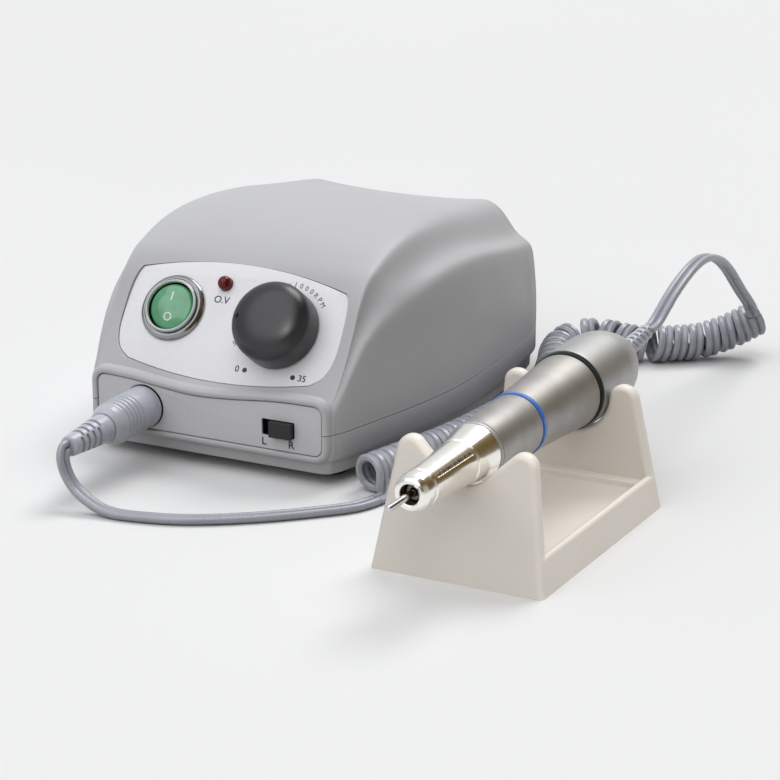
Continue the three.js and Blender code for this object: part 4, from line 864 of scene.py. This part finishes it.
def lower_panel():
    plate = slab("lower_panel_dressed", panel_outline(0), PANEL_Y, PANEL_Y + PANEL_THICK, plane="xz", bevel=0.2)
    slot = rounded(box_outline(SLIDE_X, SLIDE_Z, 6.75, 3.15), 0.5, 3, True)
    cut(plate, rod("hole", 8.3, -12, 2, SOCKET, "y", 96), slab("slot", slot, -12, 2, plane="xz"), sharp=SHARP)
    # The upright panel takes the darker silver sheet of painted shade
    finish_piece(plate, "panel", "box", "silver_sheet", ["lower_panel"])


upper_shell()
base_shell()
panel_rim()
front_plate()
lower_panel()


# Switch, lamp and knob
def rocker_switch():
    m = on_plate(*ROCKER)
    profile = rounded([(9.4, -6), (10, -6), (10, FIT), (12.9, FIT), (12.9, 0.8), (12.5, 1.3), (11.5, 2.0),
                       (11.1, 2.0), (10.95, 1.5), (10.6, 1.5), (10.4, 2.8), (9.9, 2.8), (9.4, 1.9)],
                      [0, 0.1, 0.05, 0.15, 0.4, 0.5, 0.3, 0.15, 0.1, 0.1, 0.25, 0.25, 0.2], 4, True)
    bezel = lathe("switch_bezel_dressed", profile, m, "z", ROUND_STEPS, closed=True)
    finish_piece(bezel, "dark_chrome", "box", "chrome", ["switch_bezel"])
    profile = rounded([(9.45, 0.6), (10.35, 0.6), (10.3, 3.1), (9.9, 3.5), (9.45, 3.2)],
                      [0, 0.05, 0.3, 0.3, 0.2], 4, True)
    # Pale collar: clear plastic drawn with a painted highlight
    clear = lathe("switch_collar", profile, m, "z", ROUND_STEPS, closed=True)
    finish_piece(clear, "clear_collar_painted_highlight", "box", "chrome")
    tilt = m @ turned_by(6.5, "X")  # the button's upper half stands out
    crown = rounded([(0, -2.9), (5.3, -2.9), (8.4, -1.5), (8.9, -0.7), (8.9, 1.2), (8.3, 2.2), (5.2, 3.0),
                     (2.4, 3.25), (0, 3.3)], [0, 0.6, 0.6, 0.5, 0.7, 1.4, 2, 1, 0], 5)
    button = lathe("rocker_button_dressed", crown, tilt, "z")
    finish_piece(button, "green", "rocker", "green_lens", ["rocker_button"])
    # The printed marks lie on the upper side of the domed button
    domed = 20  # points of the profile, from the middle out
    upper_r, upper_z = crown[::-1][:domed].T
    for name, letter, up, bold in (("mark_on", "I", 3.9, 0.1), ("mark_off", "O", -4.1, 0.06)):
        mark_text(name, letter, 4.6, (0, up), tilt, "white_ink", "rocker", 0.12, 0, bold,
                  lambda x, y: np.interp(np.hypot(x, y), upper_r, upper_z))


def mark_text(name, words, size, at, matrix, look="ink", body="box", thick=0.05, turn=0.0, bold=0.0, rise=None):
    """Printed lettering, size in millimetres, centred at a point of a frame. rise gives the
    height of the surface under it."""
    curve = bpy.data.curves.new(name, "FONT")
    curve.body = words
    curve.size = size
    curve.align_x = curve.align_y = "CENTER"
    curve.extrude = thick / 2
    curve.offset = bold
    curve.resolution_u = 4
    letters = scene_object(name, curve)
    mesh = evaluated_mesh(letters)
    bpy.data.objects.remove(letters)
    mesh.transform(Matrix.Translation((*at, MARK_LIFT)) @ turned_by(turn, "Z"))
    points = np.array([v.co for v in mesh.vertices])
    if rise:
        points[:, 2] += rise(points[:, 0], points[:, 1])
    for v, co in zip(mesh.vertices, place(points, matrix)):
        v.co = co
    mesh.update()
    finish_piece(scene_object(name, mesh), look, body, "dark_knob")


def lamp_piece():
    dome = [(2.7 * math.cos(a), 1.3 + 2.7 * math.sin(a)) for a in np.linspace(0, math.pi / 2, 12)]
    profile = [(0, -7), (2.5, -7), (2.5, -2.3), (3.1, -2.3), (3.1, -1.3), (2.7, -1.3)] + dome
    lens = lathe("overload_lamp_dressed", profile, on_plate(*LAMP), "z", 64)
    finish_piece(lens, "red", "box", "red_lens", ["overload_lamp"])


def speed_knob():
    m = on_plate(*KNOB)
    radius, side_top, rise = 15.3, 8.6, 7.8
    flatter, fuller = 0.74, 0.92  # powers that make the dome squarer than an ellipse
    side = rounded([(11, 0.6), (15.0, 0.6), (radius, 0.95), (radius, side_top)], [0, 0.15, 0.2, 0], 4)
    turn = np.linspace(0, math.pi / 2, 22)[1:]
    dome = np.column_stack([radius * np.cos(turn) ** flatter, side_top + rise * np.sin(turn) ** fuller])
    knob = lathe("speed_knob_dressed", np.vstack([[(0, 10.5), (11, 10.5)], side, dome]), m, "z", ROUND_STEPS)
    # The dimple near the rim shows where the knob points
    pointer = m @ turned_by(186, "Z") @ Matrix.Translation((11.5, 0, 14.4)) @ turned_by(50, "Y")
    cut(knob, lathe("pit", [(0, -1.2), (0.85, -1.2), (1.05, 1.6), (0, 1.6)], pointer, "z", 32), sharp=32)
    finish_piece(knob, "knob", "knob", "dark_knob", ["speed_knob"])


def dial_marks():
    for name, words, size, at, turn, bold in (
            ("label_lamp", "O.V", 3.9, (-6.7, -8.9), 0, 0.04),
            ("label_0", "0", 3.4, (7.7, -34), 0, 0.04),
            ("label_35", "35", 3.4, (34.6, -34), 0, 0.04),
            ("label_5", "5", 2.6, (3.7, -24.6), 40, 0)):
        mark_text(name, words, size, at, PLATE, turn=turn, bold=bold)
    for i, x in enumerate((10.9, 30.8)):
        dot = rod(f"dial_dot_{i + 1}", 0.95, -0.03, 0.05, on_plate(x, -34.0), "z", 32)
        finish_piece(dot, "ink", "box", "dark_knob")
    words = "x1000RPM"
    radius = 17.9
    for i, (letter, angle) in enumerate(zip(words, np.linspace(96.0, 41.0, len(words)))):
        a = math.radians(angle)
        at = KNOB[0] + radius * math.cos(a), KNOB[1] + radius * math.sin(a)
        mark_text(f"dial_word_{i + 1}", letter, 2.7, at, PLATE, turn=angle - 90)
    front = frame_at(0, PANEL_Y, 0, "X", 90)
    for name, letter, x in (("label_left", "L", 23.4), ("label_right", "R", 34.6)):
        mark_text(name, letter, 4.0, (x, 14.8), front, bold=0.09)


rocker_switch()
lamp_piece()
speed_knob()
dial_marks()


# Plug
PLUG_LENGTH, BOOT_LENGTH = 28.0, 23.0


def output_plug():
    start = PANEL_Y - FIT
    end, tip = start - PLUG_LENGTH, start - PLUG_LENGTH - BOOT_LENGTH
    points, radii = [(0, start), (7.6, start), (8, start - 0.4), (8, start - 11.6)], [0, 0, 0.2, 0.3]
    for i in range(5):
        s = start - 11.9 - i * 2.3
        narrower = i * 0.05
        points += [(7.25 - narrower, s), (7.2 - narrower, s - 0.55), (8.15 - narrower, s - 1.15),
                   (8.0 - narrower, s - 2.0)]
        radii += [0.15, 0.2, 0.35, 0.3]
    points += [(7.5, end + 4.4), (7.0, end + 2.6), (6.2, end + 0.9), (5.7, end + FIT), (0, end + FIT)]
    radii += [0.8, 1.2, 0.8, 0.2, 0]
    body = lathe("plug_body_dressed", rounded(points, radii, 4)[::-1], SOCKET)
    cut(body, rod("pin_room", 5.6, start - 4, start + 2, SOCKET), sharp=34)
    finish_piece(body, "plug", "plug", "cord_grey", ["plug_body"])

    # The boot: a smooth taper with combs of cross slots on four sides
    outline = rounded([(0, end), (5.1, end), (5.35, end - 0.4), (5.15, end - 5.6), (3.9, tip + 1.4),
                       (3.6, tip + 0.3), (2.7, tip), (0, tip)], [0, 0.1, 0.3, 1.0, 0.8, 0.3, 0.2, 0], 4)
    boot = lathe("plug_boot_dressed", split_long(outline, 2.0)[::-1], SOCKET)
    first, pitch, radius, taper = 6.2, 3.4, 5.0, 0.075
    for side in range(4):
        turn = SOCKET @ turned_by(90 * side, "Y")
        for i in range(4):
            down = first + (i + side % 2 / 2) * pitch
            outer = radius - taper * down
            slot = rounded(box_outline(0, end - down - 0.7, outer * 0.78, 0.7), 0.5, 4, True)
            cut(boot, slab("slot", slot, outer - 1.7, outer + 2, turn))
    tidy(boot, 34)
    finish_piece(boot, "plug", "plug", "cord_grey", ["plug_boot"])
    return body, boot


plug_pieces = output_plug()


# Handpiece
NOSE = [(0.47, 0), (0.56, 0.012), (0.64, 0.05), (0.668, 0.1), (0.672, 0.13), (0.63, 0.14), (0.63, 0.155),
        (0.668, 0.165), (0.69, 0.28), (0.807, 0.72), (0.775, 0.728), (0.775, 0.742), (0.82, 0.752), (1, 1)]
GRIP = [(0.825, 0), (0.845, 0.15), (0.875, 0.36), (0.92, 0.6), (0.965, 0.82), (1, 1)]
CASE = [(0.985, 0), (1, 0.035), (1, 0.47), (0.978, 0.59), (0.91, 0.7), (0.82, 0.78), (0.73, 0.85), (0.62, 0.9),
        (0.48, 0.955), (0.29, 1)]


def shaped(shares, radius, start, length):
    return [(r * radius, start + s * length) for r, s in shares]


def knurl(turn, s, r):
    """Three rows of small ticks along the nose, between two grooves."""
    first, last, pitch, depth = 9.4, 32.5, 1.4, 0.4
    rows, row_angle = 3, 41
    edge, narrow = 30, 28.2  # how steep a tick's side is, and how little of the round it takes
    if not first < s < last:
        return 0 * turn
    tick = min(max(0.6 - 1.3 * math.cos((s - first) * 2 * math.pi / pitch), 0), 1)
    row = np.clip(np.cos((turn - math.radians(row_angle)) * rows) * edge - narrow, 0, 1)
    return -depth * row * tick


def nose_cone():
    outline = rounded(shaped(NOSE, NOSE_RADIUS, 0, NOSE_LENGTH),
                      [0.2, 0.5, 0.8, 0.8, 0.3, 0.15, 0.15, 0.4, 1, 0.3, 0.15, 0.15, 0.4, 0], 4)
    bore = [(6.8, NOSE_LENGTH), (6.8, 33.7), (5.2, 33.7), (5.2, 12), (3.3, 12), (3.3, 0.6), (3.6, 0.15)]
    nose = lathe("nose_cone_dressed", np.vstack([split_long(outline, 0.22), bore]), HAND, "y", 288, closed=True,
                 swell=knurl, sharp=60)
    finish_piece(nose, "nose", "handpiece", "chrome", ["nose_cone"])
    # Dark steel in the mouth and in the ticks: painted shade for these hollows
    nose.data.materials.append(LOOKS["steel_painted_shade"])
    here = (HAND.inverted() @ Matrix.Translation(-SHIFT)) @ Matrix.Scale(1 / MM, 4)
    for face in nose.data.polygons:
        at = here @ face.center
        tick = -knurl(math.atan2(at.z, at.x), at.y, 0) > 0.2
        if tick or math.hypot(at.x, at.z) < 3.5 and at.y < 14:
            face.material_index = 1


def handpiece():
    nose_cone()
    for name, body, bore, radius, start, end, look, slot, edge, taper in (
            ("silver_ring", "handpiece", 7.2, 10.15, 46.7, 48.5, "satin_pale", "satin_steel", 0.5, 0.0),
            ("twist_sleeve", "twist", 7.6, 11.1, 48.8, 76.9, "satin", "satin_steel", 0.3, 1.0),
            ("blue_ring", "handpiece", 8.2, 11.5, 77.2, 79.0, "blue", "blue_band", 0.3, 0.0),
            ("seal_ring", "handpiece", 9.9, 14.1, 118.3, 120.1, "rubber", "rubber", 0.5, 0.0)):
        profile = rounded([(bore, start), (radius - taper, start), (radius, end), (bore, end)],
                          [0, edge, edge, 0], 4, True)
        ring = lathe(name + "_dressed", profile, HAND, "y", ROUND_STEPS, closed=True)
        finish_piece(ring, look, body, slot, [name])
    points = catmull(shaped(GRIP, GRIP_RADIUS, GRIP_START, GRIP_LENGTH), 6)
    profile = rounded([(GRIP_BORE, GRIP_START), *points, (GRIP_BORE, GRIP_START + GRIP_LENGTH)], 0.3, 3, True)
    grip = lathe("grip_sleeve_dressed", profile, HAND, "y", ROUND_STEPS, closed=True)
    finish_piece(grip, "satin", "handpiece", "satin_steel", ["grip_sleeve"])
    points = catmull(shaped(CASE, CASE_RADIUS, CASE_START, CASE_LENGTH), 5)
    profile = [(CASE_BORE, CASE_START), *points, (3.4, CASE_END - 3), (8.4, CASE_END - 6),
               (11.7, CASE_END - 13.5), (CASE_BORE, CASE_END - 20.5)]
    case = lathe("motor_case_dressed", profile, HAND, "y", ROUND_STEPS, closed=True)
    finish_piece(case, "satin_pale", "handpiece", "satin_steel", ["motor_case"])

    bit = lathe("drill_shank_dressed", rounded([(0, -14.4), (0.8, -14.4), (1.175, -13.9), (1.175, 22), (0, 22)],
                                               [0, 0.15, 0.2, 0, 0], 3), HAND, "y", 48)
    finish_piece(bit, "bright", "bit", "bright_steel", ["drill_bit_shank"])
    profile = rounded([(1.5, 3), (2.6, 3), (3, 3.4), (3, 12.3), (4.4, 13.5), (4.4, 30), (1.5, 30)],
                      [0.1, 0.2, 0.2, 0, 0, 0, 0], 3, True)
    collet = lathe("collet_dressed", profile, HAND, "y", 48, closed=True)
    for i in range(3):
        turn = HAND @ turned_by(120 * i + 20, "Y")
        cut(collet, slab("slit", box_outline(2.2, 6.5, 1.2, 4.5), -0.2, 0.2, turn))
    tidy(collet)
    # The collet in the mouth takes the dark steel of painted shade
    finish_piece(collet, "steel_painted_shade", "spindle", "bright_steel", ["collet"])


def strain_relief():
    ribs, thick, thin = 7, 3.75, 2.85
    first, shift = 2.2, 1.86
    pitch = RELIEF_LENGTH / ribs
    outline, corner = [(0, -4), (2.96, -4), (2.96, 0)], [0, 0, 0]
    for i in range(ribs):
        s = i * pitch
        outer = thick + (thin - thick) * i / ribs
        outline += [(outer - 0.1, s + 0.1), (outer, s + 2.3), (outer - 0.62, s + 2.7), (outer - 0.65, s + 3.4)]
        corner += [0.3, 0.4, 0.25, 0.25]
    outline += [(2.4, RELIEF_LENGTH), (0, RELIEF_LENGTH)]
    relief = lathe("strain_relief_dressed", rounded(outline, [*corner, 0.3, 0], 3), RELIEF, "y", 64)
    for side in range(6):
        turn = RELIEF @ turned_by(60 * side, "Y")
        for i in range(6):
            at = first + i * pitch + side % 2 * shift
            slot = rounded([(-1.35, at), (1.35, at + 1.1), (1.35, at + 2.2), (-1.35, at + 1.1)], 0.3, 3, True)
            cut(relief, slab("slot", slot, 2.1, 5, turn))
    tidy(relief, 34)
    finish_piece(relief, "plug", "handpiece", "cord_grey", ["handpiece_strain_relief"])


handpiece()
strain_relief()


# Cradle
def tan(degrees):
    return math.tan(math.radians(degrees))


CRADLE_HALF, CRADLE_DEPTH = 32.0, 100.8
PRONG_X, PRONG_TOP, PRONG_RADIUS = 20.5, 46.4, 5.2
WALL_THICK, WALL_BEVEL, WALL_STEPS = 5.4, 2.1, 7
END_LEAN, SIDE_LEAN = 9, 8  # degrees
NOSE_SEAT = 9.3  # radius of the nose where it lies in the near wall


def end_wall_outline(seat_radius):
    top_z = PRONG_TOP - PRONG_RADIUS
    rise = top_z - HAND_Z
    slant = math.degrees(math.asin((seat_radius + PRONG_RADIUS) / math.hypot(PRONG_X, rise))
                         + math.atan2(rise, PRONG_X))
    lean = math.degrees(math.atan2(CRADLE_HALF - PRONG_X - PRONG_RADIUS, top_z))
    prong = arc_points(PRONG_X, top_z, PRONG_RADIUS, lean, slant + 90, 16)
    notch = arc_points(0, HAND_Z, seat_radius, slant - 90, -90, 24)
    right = np.vstack([[(CRADLE_HALF, 0)], prong, notch])
    return split_long(np.vstack([right, right[:-1][::-1] * [-1, 1]]), 3.0, True)


def cradle_level(z, drawn):
    half = CRADLE_HALF - z * tan(SIDE_LEAN) - drawn
    near = z * tan(END_LEAN) + drawn
    corner = max(2.6 - drawn, 0.5)
    return ring_at(np.vstack(round_box(-half, near, half, CRADLE_DEPTH - near, corner, 8)), z)


def cradle_wall(radius, near):
    """An end wall that leans back as it rises, with round edges."""
    outline = end_wall_outline(radius + FIT)
    # The foot reaches into the ground, where it is cut off level
    low = outline[:, 1] < 0.01
    outline[low] += np.column_stack([np.sign(outline[low, 0]) * 0.5, np.full(low.sum(), -3.0)])
    normals = outline_normals(outline)
    levels = [(WALL_BEVEL * (1 - math.sin(a)), WALL_BEVEL * (1 - math.cos(a)))
              for a in np.linspace(0, math.pi / 2, WALL_STEPS + 1)]
    levels += [(inset, WALL_THICK - depth) for inset, depth in levels[::-1]]
    start, lean = (0, tan(END_LEAN)) if near else (CRADLE_DEPTH - WALL_THICK, -tan(END_LEAN))
    rings = []
    for inset, depth in levels:
        points = outline - normals * inset
        rings.append(np.column_stack([points[:, 0], start + depth + points[:, 1] * lean, points[:, 1]]))
    return loft("wall", place(rings, STAND), sharp=50)


def cradle_tray():
    """Low walls with a round rim and a flat floor with a round foot."""
    skin, wall, floor, edge = 2.6, 13.0, 9.0, 1.25
    quarter = [(edge * math.sin(a), edge * math.cos(a)) for a in np.linspace(0, math.pi / 2, 6)]
    levels = [(0, 0)]
    levels += [(wall - edge + across, edge - up) for across, up in quarter]
    levels += [(wall - edge + up, skin - edge + across) for across, up in quarter]
    levels += [(floor + edge - across, skin + edge - up) for across, up in quarter]
    return loft("cradle_dressed", place([cradle_level(z, drawn) for z, drawn in levels], STAND), sharp=50)


def cradle():
    """Walls, tray and round prongs drawn as solids, then fused."""
    body = cradle_tray()
    cut(body, loft("room_below", place([cradle_level(-2, 2.6), cradle_level(6.4, 2.6)], STAND)))
    step_y = CRADLE_DEPTH - 9 * tan(END_LEAN) - WALL_THICK - 1.3
    cut(body, cradle_wall(NOSE_SEAT, True), cradle_wall(CASE_RADIUS, False),
        slab("step", box_outline(0, step_y, 26.6, 3.3), 7.7, 11.2, STAND, bevel=0.5), operation="UNION")
    cut(body, slab("ground", box_outline(0, 55, 60, 85), -9, 0, STAND), sharp=40)
    even = body.modifiers.new("even_shading", "WEIGHTED_NORMAL")
    even.keep_sharp = True
    even.weight = 100
    finish_piece(body, "cradle", "box", "warm_plastic", ["cradle"])


cradle()


# Rear fittings
JACK = frame_at(8, 0, 28)
FUSE = frame_at(46.4, 0, 17.4)


def rear_fittings():
    outside = REAR_Y + 0.6
    for name, where, points, closed, look, slot, node in (
            ("pedal_jack_dressed", JACK, [(1.8, -9.6), (1.8, 2.0), (2.1, 2.4), (5.9, 2.4), (6.5, 1.8), (6.5, 0),
                                          (5.4, 0), (5.4, -16), (1.2, -16), (1.2, -9.6)],
             True, "black", "black_plastic", ["pedal_jack"]),
            ("jack_nut", JACK, [(2.6, 2.35), (4.6, 2.35), (4.6, 3.0), (2.6, 3.0)],
             True, "bright", "bright_steel", []),
            ("fuse_holder_dressed", FUSE, [(0, -14), (4.6, -14), (4.6, 0), (6.6, 0), (6.6, 1.7), (6.3, 2),
                                           (0, 2)],
             False, "black", "black_plastic", ["fuse_holder"])):
        edge, steps = (0.15, 48) if name == "jack_nut" else (0.12, 64)
        profile = rounded(np.array(points) + [0, outside], edge, 3, closed)
        finish_piece(lathe(name, profile, where, "y", steps, closed), look, "box", slot, node)
    start = outside + 2.3

    def grips(turn, s, r):
        if r < 5.9 or not start + 0.8 < s < start + 9.5:
            return 0 * turn
        return -0.22 * np.clip(np.cos(turn * 20) * 2, 0, 1)

    points = rounded([(0, start), (6.1, start), (6.1, start + 11.6), (5.4, start + 13), (0, start + 13)],
                     [0, 0.2, 0.8, 0.5, 0], 4)
    cap = lathe("fuse_cap_dressed", split_long(points, 1.2), FUSE, "y", 160, swell=grips, sharp=50)
    cut(cap, slab("slot", box_outline(0, 0, 4.3, 0.75), start + 11.6, start + 14, FUSE, plane="xz"), sharp=45)
    finish_piece(cap, "black", "fuse", "black_plastic", ["fuse_cap"])


rear_fittings()


# Feet and the plain CAD pieces get their materials
def dress_nodes():
    looks = {
        "rubber": ("rubber_foot",), "board": ("circuit_board",), "satin_pale": ("heat_sink",),
        "shell": ("rear_panel",), "core": ("motor_magnets", "carbon_brush", "transformer_core"),
        "winding": ("motor_rotor", "commutator", "transformer_winding"),
        "bright": ("housing_screw", "potentiometer", "spindle_shaft", "front_bearing", "middle_bearing",
                   "chuck_cam_ring"),
        "black": ("switch_body", "motor_end_bell", "output_socket", "direction", "smoothing_capacitor",
                  "mains_inlet", "plug_insert"),
    }
    soft_edges = ("direction_slider", "rear_panel", "mains_inlet", "heat_sink", "output_socket",
                  "direction_switch_body", "transformer_core", "transformer_winding")
    for name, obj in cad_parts.items():
        for look, starts in looks.items():
            if name.startswith(starts):
                obj.data.materials.clear()
                obj.data.materials.append(LOOKS[look])
        if name in soft_edges:
            bevel = obj.modifiers.new("edges", "BEVEL")
            bevel.width = 0.35 * MM
            bevel.segments = 2
            bevel.limit_method = "ANGLE"
            bevel.angle_limit = math.radians(40)


dress_nodes()

# The lead's and the tail's placings are baked into their meshes, and the cords' ends, lengths and points are
# worked out, once the pieces on them are there
tuple(to_row((14, -62, 2)))
tuple(to_row((-26, -60, 19)))
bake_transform(lead)
tuple(to_row((131.4, 206, 20)))
tuple(to_row((132.8, 128, 56)))
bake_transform(tail)
tuple(to_row(lead_line[0]))
round(metres(lead_line), 3)
to_row(lead_line).tolist()
tuple(to_row(curly_path[0]))
round(metres(curly_path), 3)
to_row(curly_path).tolist()
tuple(to_row(tail_line[-1]))
round(metres(tail_line), 3)
to_row(tail_line)[::-1].tolist()


# Floor, light and world
def stage_floor():
    mesh = bpy.data.meshes.new("floor")
    mesh.from_pydata([(*corner, 0) for corner in box_outline(0, 0, 6.0, 6.0)], [], [(0, 1, 2, 3)])
    floor = scene_object("floor", mesh)
    material = bpy.data.materials.new("floor_paper")
    n = Nodes(material)
    pale = (0.855, 0.855, 0.85)
    seen = n.mixed(n.ranged(n.noise(3.0), 0.0, 1.0), scaled(pale, 0.985), pale)
    # The floor throws less light back than the camera and the shiny pieces see
    rays = n.add("LightPath").outputs
    shown = n.math("MAXIMUM", rays["Is Camera Ray"], rays["Is Glossy Ray"])
    shown = n.math("MAXIMUM", shown, rays["Is Transmission Ray"])
    n.set(n.shader, {"Roughness": 0.9, "Specular IOR Level": 0.1,
                     "Base Color": n.mixed(shown, (0.44, 0.43, 0.41), seen)})
    floor.data.materials.append(material)


def studio_world():
    world = bpy.data.worlds.new("studio")
    bpy.context.scene.world = world
    n = Nodes(world)
    way = n.add("SeparateXYZ", {"Vector": n.add("TexCoord").outputs["Generated"]}).outputs
    # Dim and warm at the right and near the horizon, bright overhead and at the left
    height = n.math("MULTIPLY_ADD", way["Z"], 0.6, 0.3)
    dusk = n.ramp(n.math("MULTIPLY_ADD", way["X"], -0.35, height),
                  [(0.0, (0.07, 0.062, 0.05)), (0.45, (0.22, 0.21, 0.2)), (1.0, (0.62, 0.63, 0.66))])
    # Shiny pieces see a room of pale windows and dim brown gaps
    room = n.ramp(n.math("MULTIPLY_ADD", way["X"], 0.5, 0.5), [
        (0.0, (0.62, 0.63, 0.66)), (0.22, (0.9, 0.91, 0.93)), (0.36, (1.0, 1.0, 1.0)),
        (0.43, (0.85, 0.84, 0.83)), (0.5, (0.95, 0.94, 0.93)), (0.58, (0.98, 0.97, 0.95)),
        (0.66, (0.22, 0.155, 0.06)), (0.86, (0.14, 0.09, 0.03)), (0.93, (0.4, 0.36, 0.3)),
        (1.0, (0.55, 0.55, 0.54))], "EASE")
    colour = n.mixed(n.add("LightPath").outputs["Is Glossy Ray"], dusk, room)
    n.set(n.shader, {"Color": colour, "Strength": 0.8})


def suns():
    """Name, direction, strength, angle, colour and the one piece that a sun lights, if it isn't all."""
    warm = (1.0, 0.985, 0.96)
    for name, direction, strength, angle, colour, piece in (
            ("overhead", (0.08, 0.66, 1.0), 1.3, 32, (1.0, 1.0, 1.0), None),
            ("front_window", (-0.16, -0.64, 1.0), 1.36, 75, (0.97, 0.985, 1.0), None),
            ("cradle_fill", (0.7, -0.35, 0.75), 1.3, 60, warm, "cradle_dressed"),
            ("knob_sheen", (0.36, -0.9, 0.62), 0.7, 24, warm, "speed_knob_dressed")):
        data = bpy.data.lights.new(name, "SUN")
        data.energy = strength
        data.angle = math.radians(angle)
        data.color = colour
        sun = scene_object(name, data)
        sun.location = Vector(direction)
        sun.rotation_euler = (-Vector(direction)).to_track_quat("-Z", "Y").to_euler()
        if piece:
            lit = bpy.data.collections.new(name + "_receivers")
            lit.objects.link(bpy.data.objects[piece])
            sun.light_linking.receiver_collection = lit


stage_floor()
studio_world()
suns()
bpy.context.scene.view_settings.view_transform = "Standard"
